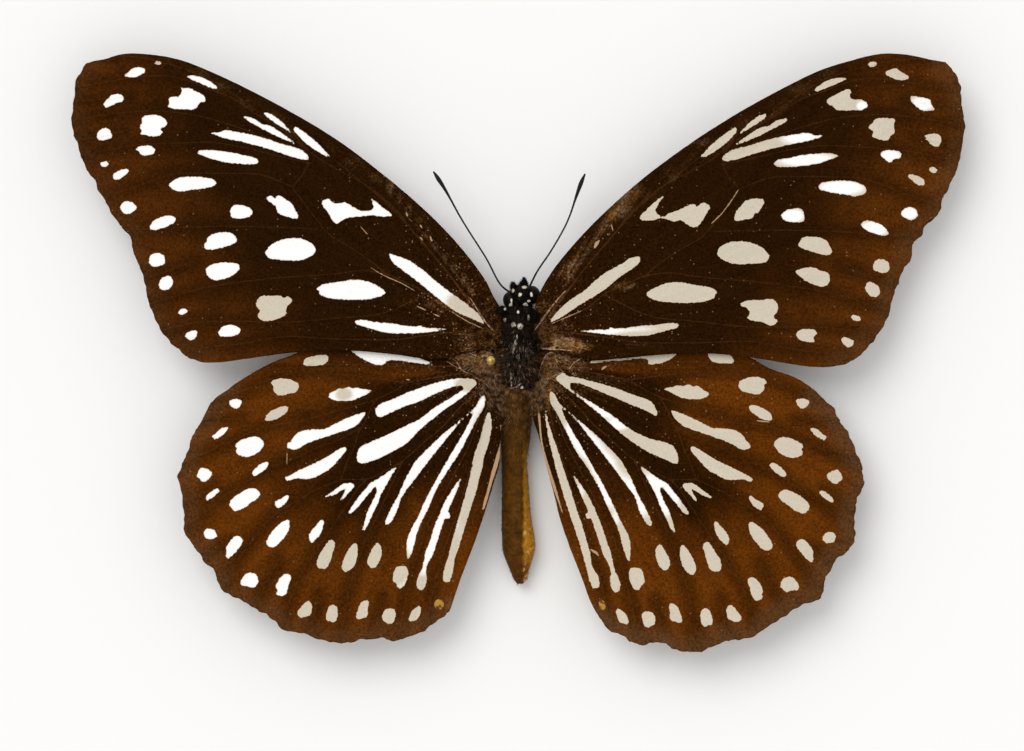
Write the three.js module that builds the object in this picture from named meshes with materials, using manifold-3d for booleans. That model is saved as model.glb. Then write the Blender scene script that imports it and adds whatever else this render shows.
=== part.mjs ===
// A spread and pinned tiger butterfly, lying on its underside.
// Millimetres, +Z up, +Y towards the head, +X to the right of the picture.
// The origin is on the flat of the belly, under the thorax.
import * as THREE from 'three';
import { mergeVertices } from 'three/addons/utils/BufferGeometryUtils.js';
import Module from 'manifold-3d';

// Driving dimensions, in millimetres
const SPAN = 89.3;
const HALF_SPAN = SPAN / 2;
const GAP = 0.04;
const WING_PLATE = 0.2;
const VEIN_RISE = 0.07;
const PANEL_SAG = 0.06;
const FOREWING_ROOT_Z = 4.75;
const HINDWING_ROOT_Z = 4.1;
const WING_ARCH = 1.0;
const TIP_LIFT = 0.25;
const BODY_AXIS_X = 0.12;
const HEAD_TURN = 0.26;
const PIN_RADIUS = 0.19;
const PIN_HEAD_RADIUS = 0.44;
const PIN_ENTRY = new THREE.Vector3(-0.55, -0.8, 5.6);
const PIN_HEAD_CENTRE = new THREE.Vector3(-2.72, -1.0, 18.3);
const ANTENNA_RADIUS = 0.09;
const CLUB_RADIUS = 0.19;

const wasm = await Module();
wasm.setup();

// Booleans: to a solid and back
function toSolid(geometry) {
  const bare = geometry.clone();
  bare.deleteAttribute('normal');
  bare.deleteAttribute('uv');
  const merged = mergeVertices(bare, 1e-4);
  return new wasm.Manifold(new wasm.Mesh({
    numProp: 3,
    vertProperties: new Float32Array(merged.attributes.position.array),
    triVerts: new Uint32Array(merged.index.array),
  }));
}

function toGeometry(solid) {
  const mesh = solid.getMesh();
  const geometry = new THREE.BufferGeometry();
  geometry.setAttribute('position', new THREE.BufferAttribute(mesh.vertProperties, 3));
  geometry.setIndex(new THREE.BufferAttribute(mesh.triVerts, 1));
  return geometry;
}

function fromTriangles(points, triangles) {
  const geometry = new THREE.BufferGeometry();
  geometry.setAttribute('position', new THREE.Float32BufferAttribute(points.flat(), 3));
  geometry.setIndex(triangles.flat());
  return geometry;
}

// Closed skin over equal rings of points, with a middle point on each end
function skinRings(rings) {
  const sides = rings[0].length;
  const points = rings.flat();
  const triangles = [];
  for (let r = 0; r + 1 < rings.length; r += 1) {
    for (let s = 0; s < sides; s += 1) {
      const a = r * sides + s;
      const b = r * sides + (s + 1) % sides;
      triangles.push([a, b, b + sides], [a, b + sides, a + sides]);
    }
  }
  const middle = (ring) => [0, 1, 2].map((k) => ring.reduce((sum, p) => sum + p[k], 0) / sides);
  const first = points.push(middle(rings[0])) - 1;
  const last = points.push(middle(rings.at(-1))) - 1;
  const lastStart = (rings.length - 1) * sides;
  for (let s = 0; s < sides; s += 1) {
    const next = (s + 1) % sides;
    triangles.push([first, next, s], [last, lastStart + s, lastStart + next]);
  }
  return fromTriangles(points, triangles);
}

// Body piece along Y: each section is [y, centre x, half width, lowest z, highest z]
function bodyLoft(sections, sides, grow = 0) {
  const ends = [sections[0][0] + grow, sections.at(-1)[0] - grow];
  const rings = sections.map(([y, cx, half, low, high], index) => {
    const ring = [];
    const middle = (low + high) / 2;
    const tall = (high - low) / 2 + grow;
    const place = index === 0 ? ends[0] : index === sections.length - 1 ? ends[1] : y;
    for (let s = 0; s < sides; s += 1) {
      const turn = 2 * Math.PI * (s + 0.5) / sides;
      const x = cx + (half + grow) * Math.sin(turn);
      const z = middle + tall * Math.cos(turn);
      ring.push([x, place, Math.max(z, -grow)]);
    }
    return ring;
  });
  return skinRings(rings.reverse());
}

// Round limb through given points, with a radius at each
function limb(places, radii, sides = 6, up = new THREE.Vector3(0, 0, 1)) {
  const centres = places.map((p) => new THREE.Vector3(...p));
  const rings = centres.map((centre, index) => {
    const before = centres[Math.max(index - 1, 0)];
    const after = centres[Math.min(index + 1, centres.length - 1)];
    const along = after.clone().sub(before).normalize();
    const across = along.clone().cross(up).normalize();
    const over = across.clone().cross(along);
    const ring = [];
    for (let s = 0; s < sides; s += 1) {
      const turn = -2 * Math.PI * s / sides;
      const point = centre.clone();
      point.addScaledVector(across, radii[index] * Math.cos(turn));
      point.addScaledVector(over, radii[index] * Math.sin(turn));
      ring.push(point.toArray());
    }
    return ring;
  });
  return skinRings(rings);
}

// Ball of given centre and half sizes, turned about Z
function ball(centre, radii, across, rows, turn = 0) {
  const geometry = new THREE.SphereGeometry(1, across, rows);
  geometry.rotateX(Math.PI / 2);
  geometry.scale(...radii);
  geometry.rotateZ(turn);
  geometry.translate(...centre);
  return geometry;
}

// Thorax: from the neck back to the waist
const THORAX = [
  [4.7, 0.15, 0.75, 2.2, 4.3],
  [4.25, 0.0, 1.45, 1.2, 5.0],
  [3.4, 0.0, 1.85, 0.35, 5.5],
  [2.2, 0.05, 2.0, -0.5, 5.85],
  [0.8, 0.1, 2.08, -0.6, 6.0],
  [-0.8, 0.1, 2.02, -0.6, 5.85],
  [-2.2, 0.12, 1.88, -0.5, 5.35],
  [-3.3, 0.15, 1.6, 0.5, 4.8],
  [-3.9, 0.2, 1.3, 1.0, 4.3],
];
const THORAX_SIDES = 18;
const thoraxCutter = toSolid(bodyLoft(THORAX, THORAX_SIDES, GAP));

// Abdomen: half widths and heights at named stations, with a groove between segments
const ABDOMEN_STATIONS = [
  [-3.7, -0.05, 1.3, 1.3, 4.2],
  [-4.9, -0.2, 1.68, 0.6, 4.15],
  [-6.9, -0.33, 1.6, 0.3, 3.9],
  [-8.9, -0.32, 1.46, 0.15, 3.6],
  [-10.9, -0.4, 1.26, 0.0, 3.35],
  [-12.9, -0.34, 1.3, -0.1, 3.2],
  [-14.9, -0.28, 1.37, -0.12, 3.15],
  [-16.9, -0.2, 1.48, -0.12, 3.1],
  [-18.9, -0.01, 1.62, -0.12, 3.1],
  [-20.9, 0.05, 1.38, 0.1, 2.75],
  [-22.3, 0.13, 0.85, 0.5, 2.25],
  [-23.4, 0.15, 0.4, 0.8, 1.8],
];
const ABDOMEN_SEGMENTS = 9;
const GROOVE = 0.06;

function between(stations, y) {
  let k = 0;
  while (k < stations.length - 2 && y < stations[k + 1][0]) k += 1;
  const [from, to] = [stations[k], stations[k + 1]];
  const t = (y - from[0]) / (to[0] - from[0]);
  return from.map((value, index) => value + (to[index] - value) * t);
}

function abdomenGeometry() {
  const front = ABDOMEN_STATIONS[0][0];
  const back = ABDOMEN_STATIONS.at(-1)[0];
  const length = (front - back) / ABDOMEN_SEGMENTS;
  const sections = [];
  for (let k = 0; k < ABDOMEN_SEGMENTS; k += 1) {
    for (const [part, swell] of [[0.04, -GROOVE], [0.5, GROOVE / 2], [0.9, GROOVE]]) {
      const [y, cx, half, low, high] = between(ABDOMEN_STATIONS, front - (k + part) * length);
      sections.push([y, cx, half + swell, low, high + swell]);
    }
  }
  sections.push(ABDOMEN_STATIONS.at(-1));
  return bodyLoft(sections, 14);
}

// Head: a capsule with an eye on each side, turned a little to the left
const HEAD_CENTRE = [0.33, 5.35, 3.35];
const EYE_SPREAD = 1.12;

function eyeCentre(side) {
  const along = side * EYE_SPREAD;
  return [
    HEAD_CENTRE[0] + along * Math.cos(HEAD_TURN),
    HEAD_CENTRE[1] + along * Math.sin(HEAD_TURN),
    HEAD_CENTRE[2],
  ];
}

function headSolid(grow = 0) {
  const capsule = ball(HEAD_CENTRE, [1.25 + grow, 1.3 + grow, 1.3 + grow], 14, 10, HEAD_TURN);
  const eyes = [-1, 1].map((side) => toSolid(
    ball(eyeCentre(side), [0.78 + grow, 0.92 + grow, 1.1 + grow], 12, 8, HEAD_TURN)));
  return toSolid(capsule).add(eyes[0]).add(eyes[1]);
}

const headCutter = headSolid(GAP);

// Wing outlines, from the front of the root round the tip to the back of the root
const FOREWING_RIGHT = [
  [1.35, 2.3], [1.65, 4.5], [2.25, 6.1], [3.45, 8.1], [5.05, 10.1], [6.85, 12.1], [9.15, 14.35],
  [12.15, 17.0], [15.15, 19.3], [18.15, 21.4], [22.15, 23.9], [26.15, 26.1], [30.15, 28.05],
  [33.15, 29.0], [36.15, 29.7], [38.65, 29.65], [41.15, 29.15], [42.65, 28.8], [43.55, 27.9],
  [44.15, 26.7], [44.4, 24.6], [44.65, 22.1], [44.4, 20.4], [44.15, 19.0], [43.35, 17.0],
  [42.55, 15.4], [41.9, 13.75], [40.8, 12.6], [40.15, 11.4], [39.45, 10.7], [39.05, 8.9],
  [38.15, 7.4], [37.45, 5.4], [36.95, 3.3], [35.95, 1.7], [34.95, 0.5], [33.65, -0.85],
  [31.95, -1.5], [29.65, -1.6], [27.15, -1.3], [23.25, -0.65], [18.95, -0.25], [14.65, -0.35],
  [10.15, -0.75], [7.35, -0.9], [5.15, -0.3], [2.65, 0.1], [1.95, 0.5],
];
const FOREWING_LEFT = [
  [-1.6, 2.1], [-1.8, 4.2], [-2.5, 5.45], [-3.2, 6.9], [-4.8, 9.15], [-7.35, 12.1],
  [-10.55, 15.15], [-13.8, 17.85], [-17.85, 20.9], [-21.9, 23.4], [-25.95, 25.6],
  [-29.85, 27.5], [-33.85, 29.1], [-37.4, 29.7], [-39.5, 29.7], [-41.4, 29.2], [-43.1, 28.8],
  [-43.65, 28.15], [-44.2, 27.1], [-44.4, 24.95], [-44.65, 22.65], [-44.25, 21.15],
  [-43.75, 19.55], [-42.9, 17.75], [-42.15, 16.7], [-41.6, 15.45], [-40.65, 13.75],
  [-39.4, 11.95], [-38.85, 11.4], [-38.45, 9.75], [-37.8, 8.25], [-37.3, 6.55], [-36.85, 4.75],
  [-35.8, 2.1], [-35.05, 1.15], [-34.0, 0.1], [-33.15, -0.65], [-31.9, -1.1], [-30.0, -1.15],
  [-27.65, -0.85], [-22.85, -0.2], [-19.85, -0.05], [-16.45, 0.0], [-12.35, -0.35],
  [-8.85, -0.8], [-6.65, -0.6], [-4.35, 0.1], [-1.85, 0.4],
];
const HINDWING_RIGHT = [
  [2.15, -0.2], [5.65, 1.1], [10.15, 1.9], [15.15, 1.7], [19.65, 0.8], [23.25, -0.7],
  [25.15, -1.75], [27.85, -2.75], [30.15, -4.35], [31.55, -5.7], [32.05, -6.7], [32.85, -8.05],
  [33.45, -9.3], [34.15, -11.1], [34.55, -12.7], [34.25, -14.2], [33.85, -15.2], [33.65, -16.9],
  [33.65, -18.4], [33.05, -19.9], [31.85, -21.0], [31.05, -22.2], [30.55, -23.7],
  [29.95, -24.8], [28.55, -25.3], [27.15, -26.15], [25.15, -27.35], [24.25, -28.2],
  [23.15, -28.7], [21.45, -28.9], [19.45, -29.5], [18.25, -30.0], [15.75, -29.85],
  [14.35, -29.15], [12.85, -29.35], [11.15, -28.9], [9.35, -28.05], [8.25, -26.85],
  [7.35, -25.4], [6.4, -22.85], [5.2, -19.8], [4.15, -16.75], [3.5, -14.1], [2.8, -11.5],
  [2.35, -9.75], [1.95, -8.3], [1.6, -6.9], [1.6, -5.6], [1.75, -4.3],
];
const HINDWING_LEFT = [
  [-2.15, -0.6], [-5.35, 0.8], [-9.85, 1.8], [-14.35, 2.0], [-18.85, 1.2], [-22.15, -0.2],
  [-24.95, -1.3], [-27.9, -3.0], [-29.3, -4.0], [-30.7, -5.2], [-31.05, -5.9], [-31.85, -7.15],
  [-32.85, -9.2], [-33.75, -11.6], [-33.95, -12.6], [-33.75, -13.8], [-33.55, -15.0],
  [-33.35, -16.4], [-33.35, -18.0], [-32.95, -18.9], [-31.55, -20.8], [-30.65, -21.6],
  [-30.05, -23.1], [-29.45, -24.2], [-28.0, -24.8], [-25.9, -26.0], [-24.95, -26.4],
  [-23.55, -27.9], [-21.95, -28.1], [-20.15, -28.75], [-18.35, -29.2], [-16.85, -29.1],
  [-15.25, -28.9], [-13.85, -28.7], [-12.25, -28.95], [-10.65, -28.55], [-8.8, -27.5],
  [-7.1, -26.3], [-6.45, -24.75], [-5.85, -22.95], [-4.55, -19.55], [-3.45, -16.4],
  [-2.35, -12.8], [-1.95, -11.6], [-1.85, -9.9], [-1.85, -7.9], [-2.05, -6.1], [-2.15, -4.4],
];

// Veins of a right wing: where each leaves the cell, a point on the way, and its end.
// A stem runs on to the root; the others start at the cell.
const FOREWING_VEINS = [
  { branch: [12.15, 15.6], via: [15.65, 19.1], end: [19.65, 22.4], stem: true },
  { branch: [12.15, 14.8], via: [18.65, 20.3], end: [26.65, 26.3], stem: true },
  { branch: [18.15, 18.5], via: [23.85, 23.6], end: [31.65, 28.5] },
  { branch: [20.35, 19.8], via: [29.35, 26.4], end: [40.95, 29.2] },
  { branch: [21.4, 19.9], via: [32.15, 25.9], end: [44.15, 26.1] },
  { branch: [20.9, 18.7], via: [31.15, 22.9], end: [44.6, 22.5] },
  { branch: [21.2, 17.4], via: [32.15, 20.5], end: [43.95, 18.8] },
  { branch: [21.95, 16.1], via: [32.15, 17.3], end: [42.15, 14.5] },
  { branch: [19.75, 12.3], via: [29.15, 12.2], end: [40.05, 11.4] },
  { branch: [13.95, 7.8], via: [25.15, 6.7], end: [37.15, 4.1] },
  { branch: [8.75, 5.5], via: [22.15, 2.5], end: [35.85, 1.5], stem: true },
  { branch: [11.65, 0.9], via: [23.65, 0.9], end: [33.85, -0.6], stem: true, free: true },
];
const HINDWING_VEINS = [
  { branch: [10.15, -1.3], via: [18.15, -1.1], end: [25.15, -1.75], stem: true, free: true },
  { branch: [10.85, -2.8], via: [22.25, -2.0], end: [30.45, -4.7], stem: true },
  { branch: [14.15, -4.7], via: [24.35, -7.4], end: [34.25, -11.6] },
  { branch: [15.55, -7.4], via: [25.65, -12.5], end: [33.65, -17.8] },
  { branch: [17.75, -12.9], via: [24.65, -16.7], end: [30.05, -24.7] },
  { branch: [14.95, -12.75], via: [19.35, -18.7], end: [23.85, -28.5] },
  { branch: [11.65, -11.1], via: [15.35, -19.5], end: [18.05, -29.95], stem: true },
  { branch: [6.15, -11.9], via: [9.55, -18.9], end: [12.05, -29.1], stem: true, free: true },
  { branch: [4.65, -11.7], via: [7.25, -19.7], end: [9.25, -28.0], stem: true, free: true },
];

// A left wing is a right one turned over and set a little narrower by hand
const FOREWING_SETTING = { x: [0.9685, 0.0245, 0.807], y: [0.0197, 0.9834, 0.052] };
const HINDWING_SETTING = { x: [0.987, 0.0066, 0.287], y: [0.0134, 0.9745, -0.537] };

function turnedOver([x, y], setting) {
  const along = setting.x[0] * x + setting.x[1] * y + setting.x[2];
  const ahead = setting.y[0] * x + setting.y[1] * y + setting.y[2];
  return [-along, ahead];
}

function leftVeins(veins, setting) {
  return veins.map((vein) => ({
    ...vein,
    branch: turnedOver(vein.branch, setting),
    via: turnedOver(vein.via, setting),
    end: turnedOver(vein.end, setting),
  }));
}

// Height of a wing's upper face before its veins and panels: a shallow arch out to the tip
function archHeight(rootZ, x) {
  const out = Math.min(Math.abs(x) / HALF_SPAN, 1);
  return rootZ + WING_ARCH * Math.sin(Math.PI * Math.min(out * 1.1, 1)) + TIP_LIFT * out;
}

const mix = (a, b, t) => [a[0] + (b[0] - a[0]) * t, a[1] + (b[1] - a[1]) * t];

// Point at s on the curve from the branch through via, halfway, to the end
function alongVein(vein, end, s) {
  const [p, q, r] = [vein.branch, vein.via, end];
  const wp = (1 - s) * (1 - 2 * s);
  const wq = 4 * s * (1 - s);
  const wr = s * (2 * s - 1);
  return [0, 1].map((k) => wp * p[k] + wq * q[k] + wr * r[k]);
}

const CELL_EDGE = 0.5;
const STEPS = [0, 0.17, 0.34, CELL_EDGE, 0.62, 0.75, 0.88, 1];
const MARGIN_STEP = 1.75;

// A wing plate as a fan of lines from its root: the two edges, every vein, and lines between
function wingGeometry({ outline, veins, rootZ, frontEdge, backEdge }) {
  const curve = new THREE.CatmullRomCurve3(
    outline.map(([x, y]) => new THREE.Vector3(x, y, 0)), false, 'centripetal');
  const samples = curve.getSpacedPoints(900).map((p) => [p.x, p.y]);
  const marginLength = curve.getLength();
  const margin = (t) => {
    const place = Math.min(Math.max(t, 0), 1) * (samples.length - 1);
    const k = Math.min(Math.floor(place), samples.length - 2);
    return mix(samples[k], samples[k + 1], place - k);
  };
  const nearest = ([x, y]) => {
    const away = samples.map(([sx, sy]) => Math.hypot(sx - x, sy - y));
    return away.indexOf(Math.min(...away)) / (samples.length - 1);
  };

  const front = nearest(frontEdge);
  const back = nearest(backEdge);
  const rootFront = outline[0];
  const rootBack = outline.at(-1);
  const lines = [{ t: front, at: (u) => margin(u * front), raised: () => true }];
  veins.forEach((vein, index) => {
    const t = nearest(vein.end);
    const end = margin(t);
    const root = mix(rootFront, rootBack, (index + 1) / (veins.length + 1));
    lines.push({
      t,
      at: (u) => (u < CELL_EDGE
        ? mix(root, vein.branch, u / CELL_EDGE)
        : alongVein(vein, end, (u - CELL_EDGE) / (1 - CELL_EDGE))),
      raised: (u) => vein.stem || u >= CELL_EDGE,
      onCell: !vein.free,
    });
  });
  lines.push({ t: back, at: (u) => margin(1 - u * (1 - back)), raised: () => false });

  const columns = [];
  for (let k = 0; k < lines.length; k += 1) {
    const [a, b] = [lines[k], lines[k + 1]];
    columns.push({ at: a.at, lift: (u) => (a.raised(u) ? VEIN_RISE : 0) });
    if (!b) break;
    const parts = Math.max(2, Math.round((b.t - a.t) * marginLength / MARGIN_STEP));
    const cellSpace = a.onCell && b.onCell;
    for (let j = 1; j < parts; j += 1) {
      const f = j / parts;
      const target = margin(a.t + (b.t - a.t) * f);
      const chord = mix(a.at(1), b.at(1), f);
      columns.push({
        at: (u) => {
          const inner = mix(a.at(u), b.at(u), f);
          return [0, 1].map((i) => inner[i] + (target[i] - chord[i]) * u ** 3);
        },
        lift: (u) => (cellSpace && u === CELL_EDGE
          ? VEIN_RISE
          : -PANEL_SAG * Math.sin(Math.PI * f) * Math.sin(Math.PI * Math.min(u * 1.15, 1))),
      });
    }
  }

  const points = [];
  for (const drop of [0, WING_PLATE]) {
    for (const column of columns) {
      for (const u of STEPS) {
        const [x, y] = column.at(u);
        points.push([x, y, archHeight(rootZ, x) + column.lift(u) - drop]);
      }
    }
  }
  const rows = STEPS.length;
  const layer = columns.length * rows;
  const triangles = [];
  for (let c = 0; c + 1 < columns.length; c += 1) {
    for (let r = 0; r + 1 < rows; r += 1) {
      const a = c * rows + r;
      const b = a + rows;
      triangles.push([a, b, b + 1], [a, b + 1, a + 1]);
      triangles.push([a + layer, b + layer + 1, b + layer], [a + layer, a + layer + 1, b + layer + 1]);
    }
  }
  const rim = [];
  for (let r = 0; r < rows; r += 1) rim.push(r);
  for (let c = 1; c < columns.length; c += 1) rim.push(c * rows + rows - 1);
  for (let r = rows - 2; r >= 0; r -= 1) rim.push((columns.length - 1) * rows + r);
  for (let c = columns.length - 2; c > 0; c -= 1) rim.push(c * rows);
  rim.forEach((a, index) => {
    const b = rim[(index + 1) % rim.length];
    triangles.push([a, b, b + layer], [a, b + layer, a + layer]);
  });
  const geometry = fromTriangles(points, triangles);
  const solid = toSolid(geometry);
  if (solid.volume() > 0) return geometry;
  return fromTriangles(points, triangles.map(([a, b, c]) => [a, c, b]));
}

function seat(geometry, ...hosts) {
  return toGeometry(hosts.reduce((solid, host) => solid.subtract(host), toSolid(geometry)));
}

// Pin: a shaft through the thorax, clipped off level with the belly, and a ball head
const pinAlong = PIN_HEAD_CENTRE.clone().sub(PIN_ENTRY).normalize();
const PIN_FOOT_Z = 0.08;

function pinShaft(radius, footZ, headZ, sides = 10) {
  const at = (z) => PIN_ENTRY.clone().addScaledVector(pinAlong, (z - PIN_ENTRY.z) / pinAlong.z);
  const ends = [at(footZ).toArray(), at(headZ).toArray()];
  return limb(ends, [radius, radius], sides, new THREE.Vector3(0, 1, 0));
}

const pinHeadCentre = PIN_HEAD_CENTRE.toArray();
const pinHead = (grow = 0) => ball(
  pinHeadCentre, Array(3).fill(PIN_HEAD_RADIUS + grow), 14, 10);
const pinShaftGeometry = seat(
  pinShaft(PIN_RADIUS, PIN_FOOT_Z, PIN_HEAD_CENTRE.z), toSolid(pinHead(GAP)));
const pinHole = toSolid(pinShaft(PIN_RADIUS + GAP, -1, PIN_HEAD_CENTRE.z));

// Antennae and palps, from the head outwards
const ANTENNA_RIGHT = [
  [1.0, 6.2, 4.25], [1.84, 7.9, 4.6], [3.19, 9.91, 4.95], [4.63, 12.4, 5.3], [5.21, 13.75, 5.45],
  [5.59, 14.91, 5.55], [5.92, 15.87, 5.6], [6.27, 16.83, 5.62], [6.65, 17.7, 5.6],
];
const ANTENNA_LEFT = [
  [-0.7, 5.75, 4.2], [-1.77, 6.62, 4.55], [-3.2, 9.22, 4.9], [-4.95, 11.97, 5.2],
  [-5.9, 13.53, 5.4], [-6.88, 15.33, 5.5], [-7.5, 16.4, 5.55], [-8.05, 17.25, 5.55],
  [-8.5, 17.93, 5.5],
];
const ANTENNA_RADII = [1.2, 1, 1, 1, 1, 1].map((share) => share * ANTENNA_RADIUS);
const CLUB_RADII = [0.75, 1, 0.55].map((share) => share * CLUB_RADIUS);
const antenna = (route) => limb(route, [...ANTENNA_RADII, ...CLUB_RADII]);

const PALP_RIGHT = [[0.55, 5.7, 2.6], [0.6, 6.4, 3.2], [0.57, 6.95, 3.65], [0.52, 7.4, 3.95]];
const PALP_LEFT = [[-0.15, 5.6, 2.6], [-0.35, 6.1, 3.2], [-0.5, 6.5, 3.6], [-0.55, 6.85, 3.9]];

// Proboscis: a spiral tube in the plane between the palps
const COIL_CENTRE = [0.2, 6.35, 1.75];
const COIL_TURNS = 1.75;

function proboscisGeometry() {
  const places = [];
  const radii = [];
  const steps = 24;
  for (let k = 0; k <= steps; k += 1) {
    const share = k / steps;
    const turn = 2.2 + 2 * Math.PI * COIL_TURNS * share;
    const radius = 0.78 - 0.5 * share;
    places.push([
      COIL_CENTRE[0],
      COIL_CENTRE[1] + radius * Math.cos(turn),
      COIL_CENTRE[2] + radius * Math.sin(turn),
    ]);
    radii.push(0.12 - 0.05 * share);
  }
  return limb(places, radii, 6, new THREE.Vector3(1, 0, 0));
}

// Legs, folded back under the body: hip, knee, ankle, foot
const LEG_RADII = [0.24, 0.3, 0.2, 0.17, 0.12, 0.09];
const LEGS = {
  foreleg: [[0.8, 3.3, 0.9], [1.05, 3.9, 0.75], [1.0, 4.6, 0.9], [0.8, 4.2, 0.45]],
  midleg: [
    [1.2, 1.8, 0.75], [2.1, 2.4, 0.85], [2.9, 2.6, 0.75], [2.7, 0.2, 0.45], [2.5, -2.2, 0.25],
    [2.5, -4.6, 0.12],
  ],
  hindleg: [
    [1.1, -1.6, 0.75], [1.95, -1.4, 0.85], [3.6, -2.6, 0.8], [3.1, -5.4, 0.45], [2.8, -8.0, 0.25],
    [2.95, -10.2, 0.12],
  ],
};

function legGeometry(name, side) {
  const route = LEGS[name].map(([x, y, z]) => [BODY_AXIS_X + side * x, y, z]);
  return limb(route, LEG_RADII.slice(0, route.length));
}

// Colour, roughness and metalness of each finish
const finish = (color, roughness, metalness = 0) =>
  new THREE.MeshStandardMaterial({ color, roughness, metalness });

const forewingFinish = () => finish('#2f1a0a', 0.7);
const hindwingFinish = () => finish('#4a2a0c', 0.7);
const bodyFinish = () => finish('#171412', 0.8);
const abdomenFinish = () => finish('#4b3010', 0.75);
const legFinish = () => finish('#1c1612', 0.6);

const butterfly = new THREE.Group();

function addPiece(name, geometry, material) {
  const flat = geometry.index ? geometry.toNonIndexed() : geometry;
  flat.computeVertexNormals();
  const mesh = new THREE.Mesh(flat, material);
  mesh.name = name;
  butterfly.add(mesh);
}

addPiece('thorax', toGeometry(toSolid(bodyLoft(THORAX, THORAX_SIDES)).subtract(pinHole)), bodyFinish());
addPiece('abdomen', seat(abdomenGeometry(), thoraxCutter), abdomenFinish());
addPiece('head', toGeometry(headSolid().subtract(thoraxCutter)), bodyFinish());

const WINGS = {
  forewing_right: {
    outline: FOREWING_RIGHT, veins: FOREWING_VEINS, rootZ: FOREWING_ROOT_Z,
    frontEdge: [10.4, 15.5], backEdge: [20.5, -0.4],
  },
  forewing_left: {
    outline: FOREWING_LEFT, veins: leftVeins(FOREWING_VEINS, FOREWING_SETTING),
    rootZ: FOREWING_ROOT_Z, frontEdge: [-11.5, 15.9], backEdge: [-20.5, -0.1],
  },
  hindwing_right: {
    outline: HINDWING_RIGHT, veins: HINDWING_VEINS, rootZ: HINDWING_ROOT_Z,
    frontEdge: [15.15, 1.7], backEdge: [5.2, -19.8],
  },
  hindwing_left: {
    outline: HINDWING_LEFT, veins: leftVeins(HINDWING_VEINS, HINDWING_SETTING),
    rootZ: HINDWING_ROOT_Z, frontEdge: [-15.0, 2.0], backEdge: [-4.55, -19.55],
  },
};
for (const [name, wing] of Object.entries(WINGS)) {
  const material = name.startsWith('fore') ? forewingFinish() : hindwingFinish();
  addPiece(name, seat(wingGeometry(wing), thoraxCutter, headCutter), material);
}

for (const [side, sign] of [['left', -1], ['right', 1]]) {
  const isRight = sign > 0;
  addPiece(`antenna_${side}`, seat(antenna(isRight ? ANTENNA_RIGHT : ANTENNA_LEFT), headCutter), legFinish());
  addPiece(
    `palp_${side}`,
    seat(limb(isRight ? PALP_RIGHT : PALP_LEFT, isRight ? [0.3, 0.4, 0.32, 0.06] : [0.3, 0.38, 0.34, 0.16], 8),
      headCutter),
    bodyFinish());
  for (const name of Object.keys(LEGS)) {
    addPiece(`${name}_${side}`, seat(legGeometry(name, sign), thoraxCutter), legFinish());
  }
}
addPiece('proboscis', seat(proboscisGeometry(), headCutter), legFinish());
addPiece('pin_shaft', pinShaftGeometry, finish('#15130f', 0.35, 0.6));
addPiece('pin_head', pinHead(), finish('#c79a3a', 0.3, 0.1));

export default butterfly;
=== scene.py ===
import math

import bpy
import numpy as np
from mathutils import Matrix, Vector
from mathutils.geometry import delaunay_2d_cdt


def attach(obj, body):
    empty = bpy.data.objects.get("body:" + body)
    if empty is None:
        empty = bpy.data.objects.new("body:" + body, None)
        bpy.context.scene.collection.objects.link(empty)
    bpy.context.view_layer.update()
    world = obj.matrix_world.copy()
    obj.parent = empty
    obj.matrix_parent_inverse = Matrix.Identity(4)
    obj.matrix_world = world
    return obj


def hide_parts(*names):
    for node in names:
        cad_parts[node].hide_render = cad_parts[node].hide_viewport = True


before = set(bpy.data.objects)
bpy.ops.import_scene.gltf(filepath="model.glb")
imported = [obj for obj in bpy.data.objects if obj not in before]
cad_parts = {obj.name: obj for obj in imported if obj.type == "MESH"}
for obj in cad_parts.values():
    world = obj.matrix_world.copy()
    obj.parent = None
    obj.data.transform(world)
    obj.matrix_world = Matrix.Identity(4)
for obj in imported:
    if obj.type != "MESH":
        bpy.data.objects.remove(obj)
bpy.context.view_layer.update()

# Right forewing. A dry membrane under rows of dark scales, stiff along its veins, with
# pale marks where the scales are thin. Built as a fine flat mesh on the wing's own edge,
# with each point's depth inside the marks and distance from the veins kept for the paint.

# Scale: a millimetre in metres, a photo pixel in millimetres, the pixel over the origin
MM = 0.001
PIXEL = 0.1
MIDDLE = (518.5, 351.0)

# Steps of the mesh in millimetres, and of the outlines of marks and lines in pixels
MESH_STEP = 0.23
MARK_STEP = 1.5
RIBBON_STEP = 2.0

# How far outside a mark its distance is kept, in millimetres
MARK_REACH = 1.0

# Form of all wings, in millimetres
HALF_SPAN = 44.65
WING_ARCH = 1.0
TIP_LIFT = 0.25
WING_THICKNESS = 0.13
EDGE_THICKNESS = 0.05
EDGE_TAPER = 1.5
VEIN_WIDTH = 0.2
VEIN_RISE = 0.05
ROOT_VEIN_RISE = 0.12
ROOT_VEIN_REACH = 5
SAG = 0.06
SAG_REACH = 2.0
FOREWING_Z = 4.75
FOREWING_ROOT = (1.6, 1.4)

# Torn edges: how near the outer margin, and how much smoother the other edges are
TEAR_REACH = 0.6
SMOOTH_SHARE = 0.93

# Rows of scales spread with the turn around the root and stretch away from it
ROW_SPREAD = 26
ROW_STRETCH = 0.12

# How far dust lies from the root, in millimetres
DUST_REACH = 7

# The last point of each outer margin, and the margin distance that a warmed place has
MARGIN_END = 38
WARM_LIMIT = 4.0

CREAM = "#cdc2ae"
CHALK_WHITE = "#fbfaf7"
MARK_RIM = "#dcc3a6"
MARGIN_BROWN = "#563a22"
MEMBRANE = ("#80531f", "#8c6c4c")
CREASE = "#c9a27f"
VEIN_BROWN = "#5a381e"
POWDER = "#82552e"
SPECK = "#b08c6a"
BARE_LINE = "#c09c76"

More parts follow.
